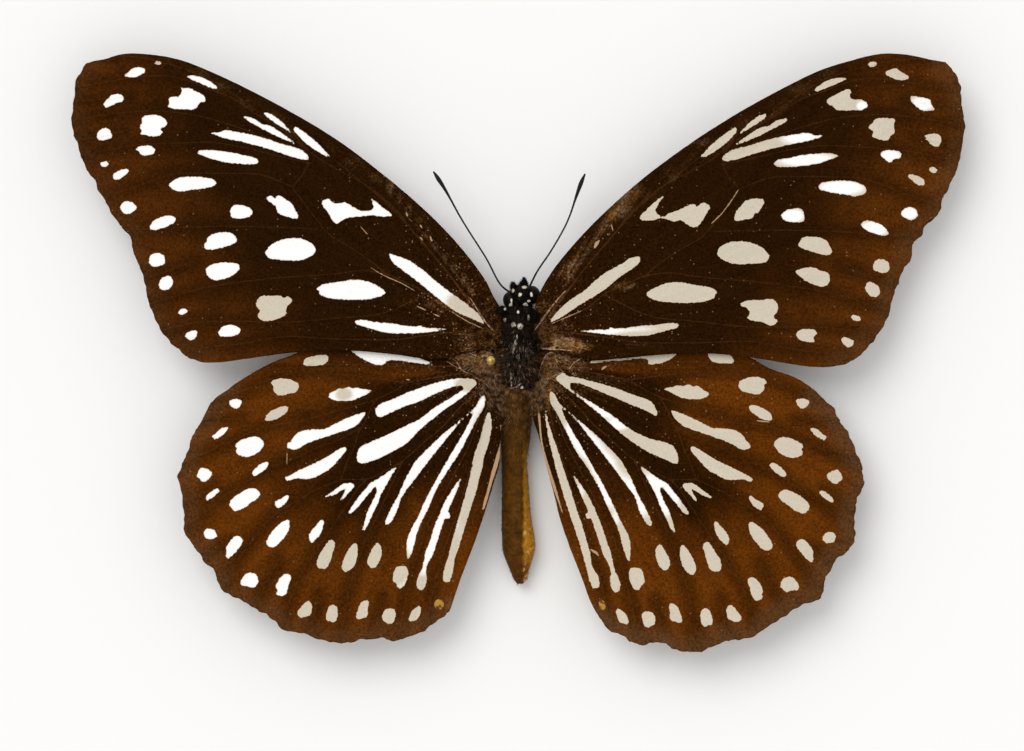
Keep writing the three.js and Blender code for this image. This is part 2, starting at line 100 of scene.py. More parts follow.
FOREWING_EDGE = [
    (532, 328), (535, 306), (541, 290), (553, 270), (569, 250), (587, 230), (610, 207.5), (640, 181),
    (670, 158), (700, 137), (740, 112), (780, 90), (820, 70.5), (850, 61), (880, 54), (905, 54.5),
    (930, 59.5), (945, 63), (954, 72), (960, 84), (962.5, 105), (965, 130), (962.5, 147), (960, 161),
    (952, 181), (944, 197), (937.5, 213.5), (926.5, 225), (920, 237), (913, 244), (909, 262), (900, 277),
    (893, 297), (888, 318), (878, 334), (868, 346), (855, 359.5), (838, 366), (815, 367), (790, 364),
    (751, 357.5), (708, 353.5), (665, 354.5), (620, 358.5), (592, 360), (570, 354), (545, 350), (538, 346),
]

FOREWING_VEINS = [
    [(534, 331), (549, 310), (566, 292), (590, 262), (614, 234), (640, 207), (666, 184), (715, 146)],
    [(548, 318), (566, 294), (581, 274), (598, 253), (613, 236), (628, 216), (645, 199), (665, 185),
     (690, 172), (714, 158), (727, 146), (737, 134)],
    [(748, 132), (775, 112), (812, 87), (835, 76), (860, 68), (900, 60), (930, 59)],
    [(728, 148), (748, 132), (775, 116), (800, 100), (822, 92), (843, 84), (865, 79), (905, 82), (958, 92)],
    [(727, 152), (770, 138), (800, 128), (830, 120), (870, 115), (920, 118), (964, 126)],
    [(720, 165), (755, 158), (790, 150), (822, 146), (855, 147), (900, 150), (937, 157), (957, 162)],
    [(738, 190), (760, 181), (777, 177), (798, 177), (855, 178), (871, 181), (900, 192), (918, 198),
     (940, 207)],
    [(727, 148), (722, 163), (729, 178), (738, 190), (731, 201), (720, 216), (712, 226)],
    [(714, 232), (737, 231), (755, 231), (791, 230.5), (840, 232), (884, 235), (918, 236)],
    [(547, 325), (587, 308), (606, 293), (643, 276), (662, 262), (680, 250), (702, 237), (712, 226)],
    [(643, 277), (658, 274), (673, 273), (690, 276), (720, 279), (755, 282), (801, 288), (838, 295),
     (867, 304), (889, 311)],
    [(606, 296), (650, 316), (700, 322), (750, 327), (800, 327), (840, 329), (876, 337)],
    [(560, 332), (589, 335), (612, 338.5), (635, 342), (693, 343), (755, 342), (791, 349), (847, 356)],
    [(842, 267), (897, 287)], [(905, 100), (962, 107)], [(915, 137), (963, 147)],
]

FOREWING_MARKS = [
    [(550, 322), (560, 309), (570, 300.3), (584, 291), (596.5, 279.5), (609, 270.5), (623, 263.3),
     (629.5, 258.5), (640, 257.2), (638.5, 263.5), (627, 272), (617, 279), (608, 287), (595.5, 295.5),
     (581, 304), (566, 314), (555, 320.5)],
    [(639.5, 218), (641, 220), (653, 220.3), (661, 218.3), (673.5, 221.6), (681, 220.5), (688, 225.5),
     (693, 227.5), (699, 225), (705.5, 214.5), (710, 207), (704, 203), (699, 205), (696.5, 207.7),
     (695, 204.7), (690, 205), (680, 209.7), (668, 214), (664, 216.6), (659, 215.5), (655, 211), (657, 206),
     (663.6, 196), (659, 198.7), (646, 210.5)],
    [(700, 158.5), (706.7, 149.7), (717.9, 139.5), (730, 130.5), (735, 127.8), (736.4, 130.5), (726, 143),
     (714, 151.8), (704, 157.5)],
    [(738, 135.3), (746.5, 125.7), (753, 120), (760, 115.7), (767, 114.8), (764, 118.5), (752, 126.7),
     (742, 132.8)],
    [(735.5, 145), (748.7, 134.9), (762, 127.2), (768, 126.7), (776.5, 121), (788, 118.7), (786, 121.3),
     (773, 128.7), (759, 136), (743, 142.5)],
    [(722, 160.5), (723.5, 156), (729.5, 151.5), (749.5, 145.7), (770, 139.5), (792, 135), (809.5, 133.5),
     (813, 135.5), (822.5, 135.6), (809, 141), (790, 144.5), (763, 151.3), (744.5, 157), (737, 159.5),
     (725, 161.5)],
    [(773.5, 164.5), (776, 161), (790, 158), (801, 155.7), (825, 153.5), (834, 154.2), (838, 156),
     (829, 160), (820, 163), (804, 166), (781, 167.2), (776, 166.7)],
    [(814, 90.5), (822.5, 83.2), (829, 80.2), (840, 78), (846, 79), (841, 82), (832, 85.7), (825, 88.7),
     (816.5, 91.4)],
    [(867.7, 65), (869, 63), (874, 62), (877, 63), (875, 66), (871, 67)],
    [(885, 73), (888.5, 70.5), (894.5, 68.5), (899, 69.8), (900, 72), (905, 74), (909, 78), (905.5, 79.8),
     (899, 80), (890, 77)],
    [(826.5, 102.5), (827, 99.8), (832.5, 96.5), (844.5, 90.5), (849, 89.3), (851, 92), (849.5, 95),
     (850.5, 98.5), (856, 100), (860.5, 100), (865.5, 102), (868, 105.5), (862, 110), (853, 110.6),
     (841, 110.6), (836, 110), (833.5, 107), (829, 105)],
    [(910.5, 98), (911, 96.5), (920, 97), (930, 100), (931, 104), (934.7, 109.7), (925, 111), (921, 110),
     (913, 103.3)],
    [(868, 127.5), (873.5, 122.3), (874.5, 119.5), (880, 118.3), (895, 119.7), (894, 124), (894, 133.8),
     (890, 135.7), (889.5, 139.3), (886, 140.5), (878, 139.3), (872, 136.3), (873.7, 131.5), (870.5, 130)],
    [(923.7, 138), (926, 135.3), (936, 133.5), (940, 135.5), (941.4, 139.3), (940, 144), (938, 146.5),
     (932, 145), (927, 140)],
    [(880, 155), (882.5, 151.5), (891, 150.2), (897, 151), (901.5, 154), (899.5, 158.2), (894.5, 159),
     (890, 162.5), (885, 159.5)],
    [(929, 169), (931, 167), (936, 168), (937.4, 170), (935.3, 173), (930.5, 171.5)],
    [(907.7, 175.7), (911, 174.3), (918, 176), (922.5, 178.3), (925, 182), (923.5, 185), (920, 185.5),
     (914, 182)],
    [(818, 187), (820, 183.7), (827, 182), (838, 180.9), (855.5, 182), (860.5, 184.3), (865, 187.5),
     (866.7, 190.3), (863.5, 194), (854.5, 196.3), (846, 194.7), (834, 193.2), (826, 191.5),
     (819.5, 189.5)],
    [(901, 214.5), (902, 211), (906, 208), (910, 206.8), (915.5, 209), (918, 214), (915.5, 218.5),
     (910.5, 220), (905.5, 218)],
    [(780.5, 216.3), (782.5, 213), (787, 210), (792, 209), (799, 208.8), (802, 210.5), (804, 216),
     (803, 221), (800.5, 222.2), (789, 222), (784, 220)],
    [(733.7, 219), (736.3, 211.5), (741, 206), (745, 201.3), (751, 199.3), (762, 199.5), (764, 201.5),
     (761, 208), (757.5, 213.3), (754.5, 213), (753, 217), (749.5, 219), (743, 220), (738.5, 221),
     (734.5, 220.7)],
    [(717, 254.5), (718, 249.5), (723, 245.3), (731, 242), (740, 241.5), (751, 243), (764, 249.5),
     (766.5, 253), (769, 256), (767.5, 260), (765, 262.3), (751, 263.8), (736, 264.2), (729, 262.6),
     (720, 258)],
    [(798, 245), (800.3, 240), (804, 237.3), (811, 236.9), (820, 238), (827.5, 242), (829.5, 246.5),
     (832, 251), (831, 253.7), (828.5, 254.8), (815, 253), (808, 250.5), (801.5, 248.3)],
    [(795, 271.7), (799.7, 269.5), (805, 267.7), (815, 268.2), (819.5, 270.7), (825.5, 272), (829, 275),
     (829.3, 280.5), (827.5, 284.7), (823, 286.6), (819, 286.3), (805, 280.8), (800.5, 277)],
    [(873, 266), (874.5, 261.5), (879, 259.2), (884, 259.8), (888.5, 263), (889.5, 267), (888.5, 271),
     (884, 273.2), (879, 272), (873.7, 270.3)],
    [(865, 289), (866.5, 284.5), (868, 282), (874, 283.5), (877.5, 285.5), (879.5, 291), (879.5, 294),
     (875.5, 296.8), (870.5, 296.3), (867, 292.5)],
    [(850.5, 317), (853.5, 315.2), (858.5, 316.2), (860.7, 318), (860, 320.7), (856, 321.3),
     (852.4, 319.5)],
    [(795.7, 335), (798, 331), (802, 329.3), (811, 329), (816.6, 332.2), (815.5, 335), (812.8, 337),
     (814.5, 341.5), (805, 341.4), (799, 339.5)],
    [(841, 338.5), (842.5, 337), (849, 338.5), (853.7, 341.5), (853.5, 344), (848.5, 347.2), (844, 345)],
    [(860.5, 224.5), (863.5, 221.4), (870, 220.8), (878, 223.6), (883, 226), (886, 229.5), (888.5, 234),
     (884, 235.8), (878, 234.8), (865, 229.5)],
    [(646, 294.5), (651, 290), (664, 284), (678.5, 282.4), (690, 284.3), (700, 286), (710.5, 288),
     (717, 292.6), (714.5, 294.7), (713.8, 298), (709, 299.8), (703, 301.8), (679, 302.8), (658, 300.8),
     (651, 298.5)],
    [(739.5, 304.6), (746, 301), (760, 300.3), (769, 299), (775, 301.3), (778, 308.5), (776.2, 312),
     (773, 317.2), (777.2, 320.3), (775.5, 323.3), (772, 325.4), (767.5, 324.8), (762.5, 322.2),
     (751, 320.3), (746.4, 316.7), (749.5, 314.5), (749.5, 311.5), (747, 308.5), (743, 306.8)],
    [(580.5, 331), (600, 329.7), (609, 329.2), (610.5, 327), (613, 328.3), (622, 328.5), (642, 325.8),
     (660, 324.8), (669, 323), (676, 323.5), (678.8, 325), (676, 328), (668.5, 329.8), (649, 335),
     (636, 336), (609, 334.7), (590, 332.3)],
]

# Bright bare lines: points with a width each
FOREWING_LINES = [
    [(534, 331, 0.9), (541, 322, 1.4), (549, 310, 1.2), (558, 299, 0.9), (566, 290, 0.6)],
    [(539, 348.5, 0.5), (548, 348, 0.8), (556, 346, 0.9), (566, 343.5, 0.6)],
    [(541, 349, 0.4), (552, 349.5, 0.8), (562, 349.5, 0.9), (573, 351, 0.6)],
    [(711, 224, 0.8), (722, 213, 1.0), (731, 201, 0.8), (738, 190, 0.6)],
    [(594, 248.5, 1.5), (597, 243, 3.2), (599.5, 240.3, 1.2)], [(611, 224, 0.7), (613, 231, 0.9)],
    [(551, 324, 0.5), (565, 318, 0.7), (583, 310, 0.5)], [(607.5, 234, 1.4), (608, 235.5, 1.2)],
    [(612, 254.5, 1.2), (612.5, 256, 1.0)],
]

# Places where the scales are rubbed to brown: centre, reach along x and y, strength
FOREWING_WORN = [
    (562, 357, 14, 5, 0.6),
    (558, 342, 8, 5.5, 1.2), (570, 344, 9, 5.5, 1.2), (582, 347, 11, 4.5, 0.7), (548, 333, 12, 9, 0.4),
    (620, 286, 18, 6, 0.35), (565, 275, 9, 14, 0.3), (640, 345, 30, 5, 0.2), (700, 143, 16, 5, 0.25),
    (556, 312, 6, 8, 0.3), *((566 + 5.8 * k, 275 - 7.4 * k, 6, 8, 0.27) for k in range(13)),
    *((620 + 26 * k, 210 - 17 * k, 20, 11, 0.2) for k in range(9)),
]

# Places where the marks are chalk white, and dusty places, with the same numbers
FOREWING_DUSTY = [(572, 300, 18, 20, 0.3)]
FOREWING_CHALK = [
    (922, 104, 14, 8, 1.0), (803, 138, 26, 9, 1.0), (806, 160, 34, 8, 1.0), (841, 188, 28, 9, 1.0),
    (792, 216, 14, 8, 1.0), (890, 156, 13, 8, 1.0), (874, 229, 16, 9, 1.0), (909, 213, 10, 8, 1.0),
    (862, 106, 7, 6, 0.9), (600, 331, 22, 5, 0.8), (640, 329, 30, 5, 0.5), (688, 216, 14, 5, 0.25),
]


def curve_through(points, step, closed=False):
    """Even steps along a smooth curve through the points, in as many dimensions as they have."""
    p = np.asarray(points, float)
    if closed:
        p = np.vstack([p[-1], p, p[0], p[1]])
    else:
        p = np.vstack([2 * p[0] - p[1], p, 2 * p[-1] - p[-2]])
    made = []
    for a, b, c, d in zip(p, p[1:], p[2:], p[3:]):
        k1, k2, k3 = np.cumsum([max(np.linalg.norm(v), 1e-6) ** 0.5 for v in (b - a, c - b, d - c)])
        gap = k2 - k1
        leave = ((b - a) / k1 - (c - a) / k2 + (c - b) / gap) * gap
        reach = ((c - b) / gap - (d - b) / (k3 - k1) + (d - c) / (k3 - k2)) * gap
        count = max(1, round(np.linalg.norm(c - b) / step))
        for s in np.arange(count) / count:
            made.append(
                (2 * s**3 - 3 * s**2 + 1) * b + (s**3 - 2 * s**2 + s) * leave
                + (3 * s**2 - 2 * s**3) * c + (s**3 - s**2) * reach)
    if not closed:
        made.append(p[-2])
    return np.array(made)


def from_photo(points):
    """Photo pixels to millimetres in the part's frame."""
    p = np.asarray(points, float)
    return np.column_stack([(p[:, 0] - MIDDLE[0]) * PIXEL, (MIDDLE[1] - p[:, 1]) * PIXEL])


def ribbon(points):
    """Outline in pixels of a line given as points with widths."""
    route = curve_through(points, RIBBON_STEP)
    ahead = np.gradient(route[:, :2], axis=0)
    ahead /= np.linalg.norm(ahead, axis=1)[:, None]
    aside = np.column_stack([-ahead[:, 1], ahead[:, 0]]) * route[:, 2:3] / 2
    return np.vstack([route[:, :2] + aside, (route[:, :2] - aside)[::-1]])


def away_from(places, line, closed):
    """Distance of each place from a line, and whether it is inside when the line is closed."""
    away = np.full(len(places), np.inf)
    inside = np.zeros(len(places), bool)
    ends = np.roll(line, -1, axis=0) if closed else line[1:]
    for a, b in zip(line, ends):
        side = b - a
        share = np.clip((places - a) @ side / max(side @ side, 1e-12), 0, 1)
        away = np.minimum(away, np.linalg.norm(places - a - share[:, None] * side, axis=1))
        if side[1]:
            crossed = (a[1] > places[:, 1]) != (b[1] > places[:, 1])
            inside ^= crossed & (places[:, 0] < a[0] + side[0] * (places[:, 1] - a[1]) / side[1])
    return away, inside


def depth_in(places, outlines):
    """Depth of each place inside the nearest of the outlines, in mm, and less than 0 outside."""
    depth = np.full(len(places), -MARK_REACH)
    for line in outlines:
        low, high = line.min(axis=0) - MARK_REACH, line.max(axis=0) + MARK_REACH
        near = np.flatnonzero(np.all((places > low) & (places < high), axis=1))
        away, inside = away_from(places[near], line, True)
        depth[near] = np.maximum(depth[near], np.where(inside, away, -away))
    return depth


def set_attribute(mesh, name, values, kind="FLOAT"):
    made = mesh.attributes.new(name, kind, "POINT")
    made.data.foreach_set("value" if kind == "FLOAT" else "vector", np.asarray(values, float).ravel())


def new_object(name, points, faces, material, smooth=True):
    """A mesh object from points in millimetres."""
    mesh = bpy.data.meshes.new(name)
    mesh.from_pydata((np.asarray(points) * MM).tolist(), [], faces)
    mesh.materials.append(material)
    mesh.polygons.foreach_set("use_smooth", np.full(len(mesh.polygons), smooth))
    mesh.update()
    made = bpy.data.objects.new(name, mesh)
    bpy.context.collection.objects.link(made)
    return made


class Term:
    """A socket of a material, with arithmetic."""

    def __init__(self, paint, socket):
        self.paint = paint
        self.socket = socket

    def math(self, operation, *others):
        return self.paint.node("Math", {"operation": operation}, dict(enumerate([self, *others])))

    def __add__(self, other):
        return self.math("ADD", other)

    def __sub__(self, other):
        return self.math("SUBTRACT", other)

    def __mul__(self, other):
        return self.math("MULTIPLY", other)

    def __rsub__(self, other):
        return (self * -1.0) + other

    __radd__ = __add__

    def smaller(self, other):
        return self.math("MINIMUM", other)

    def rise(self, low, high):
        """0 below low, 1 above high, smooth between them."""
        ends = {"Value": self, "From Min": low, "From Max": high}
        return self.paint.node("MapRange", {"interpolation_type": "SMOOTHSTEP"}, ends)


def tone(code):
    """A linear colour from its usual six-figure code."""
    parts = [int(code[k:k + 2], 16) / 255 for k in (1, 3, 5)]
    return tuple(v / 12.92 if v <= 0.04045 else ((v + 0.055) / 1.055) ** 2.4 for v in parts) + (1.0,)


class Paint:
    """A procedural material; every node is made by node()."""

    def __init__(self, name):
        self.material = bpy.data.materials.new(name)
        self.material.use_nodes = True
        self.tree = self.material.node_tree
        self.shader = self.tree.nodes["Principled BSDF"]

    def feed(self, socket, value):
        if isinstance(value, Term):
            self.tree.links.new(value.socket, socket)
        else:
            socket.default_value = value

    def node(self, kind, settings, values, output=0):
        made = self.tree.nodes.new("ShaderNode" + kind)
        for key, value in settings.items():
            setattr(made, key, value)
        for key, value in values.items():
            self.feed(made.inputs[key], value)
        return Term(self, made.outputs[output])

    def attribute(self, name, output="Fac"):
        return self.node("Attribute", {"attribute_name": name}, {}, output)

    def place(self):
        """Object coordinates in millimetres."""
        spot = self.node("TexCoord", {}, {}, "Object")
        return self.node("VectorMath", {"operation": "SCALE"}, {0: spot, "Scale": 1 / MM})

    def noise(self, where, scale, detail):
        return self.node("TexNoise", {}, {"Vector": where, "Scale": scale, "Detail": detail}, "Fac")

    def mix(self, share, first, second):
        return self.node("Mix", {"data_type": "RGBA"}, {0: share, 6: first, 7: second}, 2)

    def shaded(self, colour, share):
        """The colour times a grey amount."""
        return self.node("VectorMath", {"operation": "SCALE"}, {0: colour, "Scale": share})

    def bump(self, height, distance, strength):
        return self.node("Bump", {}, {"Height": height, "Distance": distance * MM, "Strength": strength})

    def finish(self, **sockets):
        for key, value in sockets.items():
            self.feed(self.shader.inputs[key.replace("_", " ")], value)
        return self.material


class WingPaint(Paint):
    """Layers over one another: scales, rubbed places, dust, bare lines and pale marks."""

    def __init__(self, name):
        super().__init__(name)
        self.where = self.place()
        self.mottle = self.noise(self.where, 0.3, 3.0) - 0.5
        self.streaks = self.noise(self.attribute("rows", "Vector"), 1.0, 3.0) - 0.5
        self.grain = self.noise(self.where, 4.5, 3.0) - 0.5
        self.ridge = self.attribute("vein")
        self.dust = self.attribute("dust")

    def scales(self, dark, brown, reach, rim):
        """Dark scales that turn brown near the outer margin; painted shade keeps them darker along the
        veins.
        """
        margin = self.attribute("margin")
        warm = 1.0 - (margin + self.mottle * 9.0 + self.streaks * 5.0).rise(*reach)
        # Painted shade along the veins: the brown is held back near each vein, so the wing is darker there.
        between = self.ridge.rise(0.1, 1.6)
        colour = self.mix(warm * (0.45 + between * 0.55), tone(dark), tone(brown))
        fringe = 1.0 - (margin + self.mottle * 2.0).rise(0.2, 2.4)
        return self.mix(fringe * rim, colour, tone(MARGIN_BROWN))

    def rubbed(self, colour, worn, folds):
        """Bare brown membrane where the scales are rubbed off, with paler creases."""
        patches = self.noise(self.where, 0.9, 2.0).rise(0.42, 0.6)
        membrane = self.mix(patches, tone(MEMBRANE[0]), tone(MEMBRANE[1]))
        colour = self.mix(worn * 0.85, colour, membrane)
        return self.mix(folds * worn * 0.4, colour, tone(CREASE))

    def specks(self):
        """Single bright scales, thicker where it is dusty."""
        cells = {"Vector": self.where, "Scale": 3.2}
        away = self.node("TexVoronoi", {}, cells, "Distance")
        luck = self.node("SeparateColor", {}, {"Color": self.node("TexVoronoi", {}, cells, "Color")})
        return (1.0 - away.rise(0.1, 0.3)) * (self.dust * 0.45 + 0.035 - luck).rise(0.0, 0.02)

    def dusted(self, colour, speck):
        """Browner veins, clumps of powder near the root, fine shading and the specks."""
        tint = (1.0 - self.ridge.rise(0.02, 0.1)) * (0.18 + self.dust * 0.4)
        colour = self.mix(tint, colour, tone(VEIN_BROWN))
        clumps = self.noise(self.where, 0.9, 2.0).rise(0.46, 0.6)
        powder = (self.noise(self.where, 6.0, 2.0) + self.dust * 0.08).rise(0.58, 0.7)
        powder = powder * clumps * self.dust.smaller(1.0)
        colour = self.mix(powder * 0.45, colour, tone(POWDER))
        colour = self.shaded(colour, 1.0 + self.streaks * 0.9 + self.grain * 2.0 * (1.0 + self.dust))
        return self.mix(speck * (0.4 + self.dust * 0.3), colour, tone(SPECK))

    def marked(self, colour, speck):
        """Bare lines, then the pale marks with ragged rims, chalk white at places."""
        bare = self.attribute("line") + self.grain * 0.1
        colour = self.mix(bare.rise(-0.03, 0.03) * 0.85, colour, tone(BARE_LINE))
        ragged = self.attribute("mark") + (self.noise(self.where, 3.6, 4.0) - 0.5) * 0.26
        chalk = self.attribute("chalk").rise(0.25, 0.75)
        inner = self.mix(chalk, tone(CREAM), tone(CHALK_WHITE))
        inner = self.mix((1.0 - ragged.rise(0.0, 0.14)) * 0.5, inner, tone(MARK_RIM))
        inner = self.shaded(inner, 1.0 + self.grain * 0.3 + self.streaks * 0.12)
        shown = ragged.rise(-0.03, 0.03)
        return self.mix(shown * (1.0 - speck * (1.0 - chalk) * 0.3), colour, inner)


def wing_paint(name, dark, brown, reach, rim):
    """The paint of one wing; the brown fades out over reach, in millimetres from the margin."""
    paint = WingPaint(name)
    uneven = 1.0 + paint.streaks * 2.4 + paint.mottle * 1.4 + paint.grain * 1.5
    worn = (paint.attribute("worn") * uneven).rise(0.1, 1.0)
    creases = paint.noise(paint.where, 1.6, 2.0) - 0.5 + paint.streaks * 0.2
    folds = 1.0 - creases.math("ABSOLUTE").rise(0.0, 0.03)
    speck = paint.specks()
    colour = paint.scales(dark, brown, reach, rim)
    colour = paint.rubbed(colour, worn, folds)
    colour = paint.dusted(colour, speck)
    colour = paint.marked(colour, speck)
    on_vein = 1.0 - paint.ridge.rise(0.0, 0.16)
    raised = on_vein * 0.05 + paint.grain * 0.05 + paint.streaks * 0.05 + folds * worn * 0.04
    return paint.finish(
        Base_Color=colour, Roughness=0.7, Specular_IOR_Level=0.0, Normal=paint.bump(raised, 1.0, 0.8))


def wing_height(x, root_z):
    """Height of the wing's upper face, which arches a little from root to tip."""
    out = np.clip(np.abs(x) / HALF_SPAN, 0, 1)
    return root_z + WING_ARCH * np.sin(np.pi * np.clip(out * 1.1, 0, 1)) + TIP_LIFT * out


def blobs_at(places, blobs, start=0.0):
    """Sum of soft blobs at the places."""
    total = np.full(len(places), start)
    for x, y, wide, tall, strength in blobs:
        total += strength * np.exp(-((places[:, 0] - x) / wide) ** 2 - ((places[:, 1] - y) / tall) ** 2)
    return total


def ragged_edge(outline, margin, fringe, seed):
    """The wing's edge, torn a little along its outer margin."""
    edge = curve_through(outline, MESH_STEP, closed=True)
    ahead = np.roll(edge, -1, axis=0) - np.roll(edge, 1, axis=0)
    ahead /= np.linalg.norm(ahead, axis=1)[:, None]
    torn = 1 - np.clip(away_from(edge, margin, False)[0] / TEAR_REACH, 0, SMOOTH_SHARE)
    chance = np.random.default_rng(seed).normal(size=len(edge) + 4)
    rough = np.convolve(chance, [0.1, 0.25, 0.5, 0.25, 0.1], "valid")
    rough *= fringe * torn
    return edge + np.column_stack([ahead[:, 1], -ahead[:, 0]]) * rough[:, None]


def points_inside(edge, ridges):
    """Points along the ridges, and between them on a lattice that stays clear of them."""
    low, high = edge.min(axis=0), edge.max(axis=0)
    rows = np.arange(low[1], high[1], MESH_STEP * 0.866)
    lattice = np.array([
        (x + (k % 2) * MESH_STEP / 2, y)
        for k, y in enumerate(rows) for x in np.arange(low[0], high[0], MESH_STEP)])
    for line in ridges:
        reach = np.all((lattice > line.min(axis=0) - 0.2) & (lattice < line.max(axis=0) + 0.2), axis=1)
        near = np.flatnonzero(reach)
        close = near[away_from(lattice[near], line, False)[0] < MESH_STEP * 0.55]
        lattice = np.delete(lattice, close, axis=0)
    along_ridges = np.vstack(ridges)
    inner = np.vstack([along_ridges, lattice])
    away, inside = away_from(inner, edge, True)
    clear = np.where(np.arange(len(inner)) < len(along_ridges), 0.2, 0.45) * MESH_STEP
    return inner[inside & (away > clear)]


def flat_triangles(edge, inner):
    """Triangles that fill the edge through the inner points, all facing up."""
    wanted = [Vector(p) for p in np.vstack([edge, inner])]
    points, _, faces, *_ = delaunay_2d_cdt(wanted, [], [list(range(len(edge)))], 1, 1e-5)
    flat = np.array([tuple(p) for p in points])
    corners = np.array([list(f) for f in faces])
    a, b, c = (flat[corners[:, k]] for k in range(3))
    turned = (b[:, 0] - a[:, 0]) * (c[:, 1] - a[:, 1]) - (b[:, 1] - a[:, 1]) * (c[:, 0] - a[:, 0]) < 0
    corners[turned] = corners[turned][:, ::-1]
    return flat, corners


def closed_sheet(flat, corners, height, thick):
    """Points and faces of a thin closed sheet: its upper face, its lower face and its rim."""
    count = len(flat)
    top = np.column_stack([flat, height])
    under = np.column_stack([flat, height - thick])
    directed = {(f[k], f[(k + 1) % 3]) for f in corners.tolist() for k in range(3)}
    rim = [(p, q) for p, q in sorted(directed) if (q, p) not in directed]
    faces = corners.tolist() + (corners[:, ::-1] + count).tolist()
    faces += [(q, p, p + count, q + count) for p, q in rim]
    return np.vstack([top, under]), faces


def set_bake_map(mesh, flat, edge, rim_start):
    """Lay the upper face beside the lower one for the bake; the rim takes the upper colours."""
    low, high = edge.min(axis=0), edge.max(axis=0)
    wide, tall = high - low
    scale = 0.98 / max(wide, 2 * tall + 1)
    spots = np.vstack([flat - low + (0, tall + 1), flat - low]) * scale + 0.01
    corner_points = np.empty(len(mesh.loops), int)
    mesh.loops.foreach_get("vertex_index", corner_points)
    corner_points[rim_start:] %= len(flat)
    uv = mesh.uv_layers.new(name="OFBake")
    uv.uv.foreach_set("vector", spots[corner_points].ravel())


def wing(name, outline, margin_start, fringe, marks, lines, veins, worn, chalk, dusty, root, root_z,
         material, seed, chalk_start=0.0, warmed=()):
    """A wing piece; every place is given in millimetres."""
    margin = curve_through(outline[margin_start:MARGIN_END], MESH_STEP)
    edge = ragged_edge(outline, margin, fringe, seed)
    vein_lines = [curve_through(line, MESH_STEP) for line in veins]
    inner = points_inside(edge, vein_lines + [path for path, _ in lines])
    flat, corners = flat_triangles(edge, inner)

    from_edge = away_from(flat, edge, True)[0]
    from_vein = np.full(len(flat), 3.0)
    for line in vein_lines:
        from_vein = np.minimum(from_vein, away_from(flat, line, False)[0])
    far = np.hypot(flat[:, 0] - root[0], flat[:, 1] - root[1])
    vein_rise = VEIN_RISE + ROOT_VEIN_RISE * np.exp(-far / ROOT_VEIN_REACH)
    height = wing_height(flat[:, 0], root_z) - SAG * np.clip(from_vein / SAG_REACH, 0, 1)
    height += vein_rise * np.exp(-(from_vein / VEIN_WIDTH) ** 2)
    thick = EDGE_THICKNESS + (WING_THICKNESS - EDGE_THICKNESS) * np.clip(from_edge / EDGE_TAPER, 0, 1)
    piece = new_object(name, *closed_sheet(flat, corners, height, thick), material)

    from_margin = away_from(flat, margin, False)[0]
    from_margin = np.minimum(from_margin, np.maximum(from_margin - blobs_at(flat, warmed), WARM_LIMIT))
    fields = {
        "mark": depth_in(flat, marks),
        "line": depth_in(flat, [line_edge for _, line_edge in lines]),
        "vein": from_vein,
        "margin": from_margin,
        "worn": blobs_at(flat, worn),
        "chalk": blobs_at(flat, chalk, chalk_start),
        "dust": blobs_at(flat, dusty) + np.exp(-far / DUST_REACH),
    }
    for key, values in fields.items():
        set_attribute(piece.data, key, np.tile(values, 2))
    turn = np.arctan2(flat[:, 1] - root[1], flat[:, 0] - root[0])
    rows = np.column_stack([turn * ROW_SPREAD, far * ROW_STRETCH, np.zeros(len(flat))])
    set_attribute(piece.data, "rows", np.tile(rows, (2, 1)), "FLOAT_VECTOR")
    set_bake_map(piece.data, flat, edge, len(corners) * 6)

    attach(piece, "root")
    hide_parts(name.removesuffix("_skin"))
    return piece


def path_and_edge(points):
    """Middle and outline, in millimetres, of a line given in pixels with widths."""
    path = from_photo(curve_through(points, MESH_STEP / PIXEL))
    return path, from_photo(ribbon(points))


def mark_outline(points):
    """Smooth outline of a mark, in millimetres."""
    return from_photo(curve_through(points, MARK_STEP, closed=True))


def wing_lines(marks, lines, veins):
    """A wing's marks, bare lines and veins in millimetres, from pixels."""
    return {
        "marks": [mark_outline(line) for line in marks],
        "lines": [path_and_edge(line) for line in lines],
        "veins": [from_photo(line) for line in veins],
    }


def in_mm(blobs):
    """Blobs in pixels to millimetres."""
    spots = from_photo([blob[:2] for blob in blobs])
    return [(*spot, wide * PIXEL, tall * PIXEL, strength)
            for spot, (_, _, wide, tall, strength) in zip(spots, blobs)]


forewing_right = wing_lines(FOREWING_MARKS, FOREWING_LINES, FOREWING_VEINS)
forewing_paint = wing_paint("forewing scales", dark="#261304", brown="#532b09", reach=(2.0, 13.0), rim=0.4)
forewing_right_skin = wing(
    "forewing_right_skin", from_photo(FOREWING_EDGE), margin_start=17, fringe=0.1, **forewing_right,
    worn=in_mm(FOREWING_WORN), chalk=in_mm(FOREWING_CHALK), dusty=in_mm(FOREWING_DUSTY),
    root=FOREWING_ROOT, root_z=FOREWING_Z, material=forewing_paint, seed=3)

# Left forewing. The same kind of wing, turned over, a little smaller and set as given. It has
# its own margin and some marks of its own, and nearly all its marks are chalk white.

# From right to left: x, then y, each as a share of x, a share of y and a shift
FOREWING_SETTING = ((0.9685, 0.0245, 0.807), (0.0197, 0.9834, 0.052))

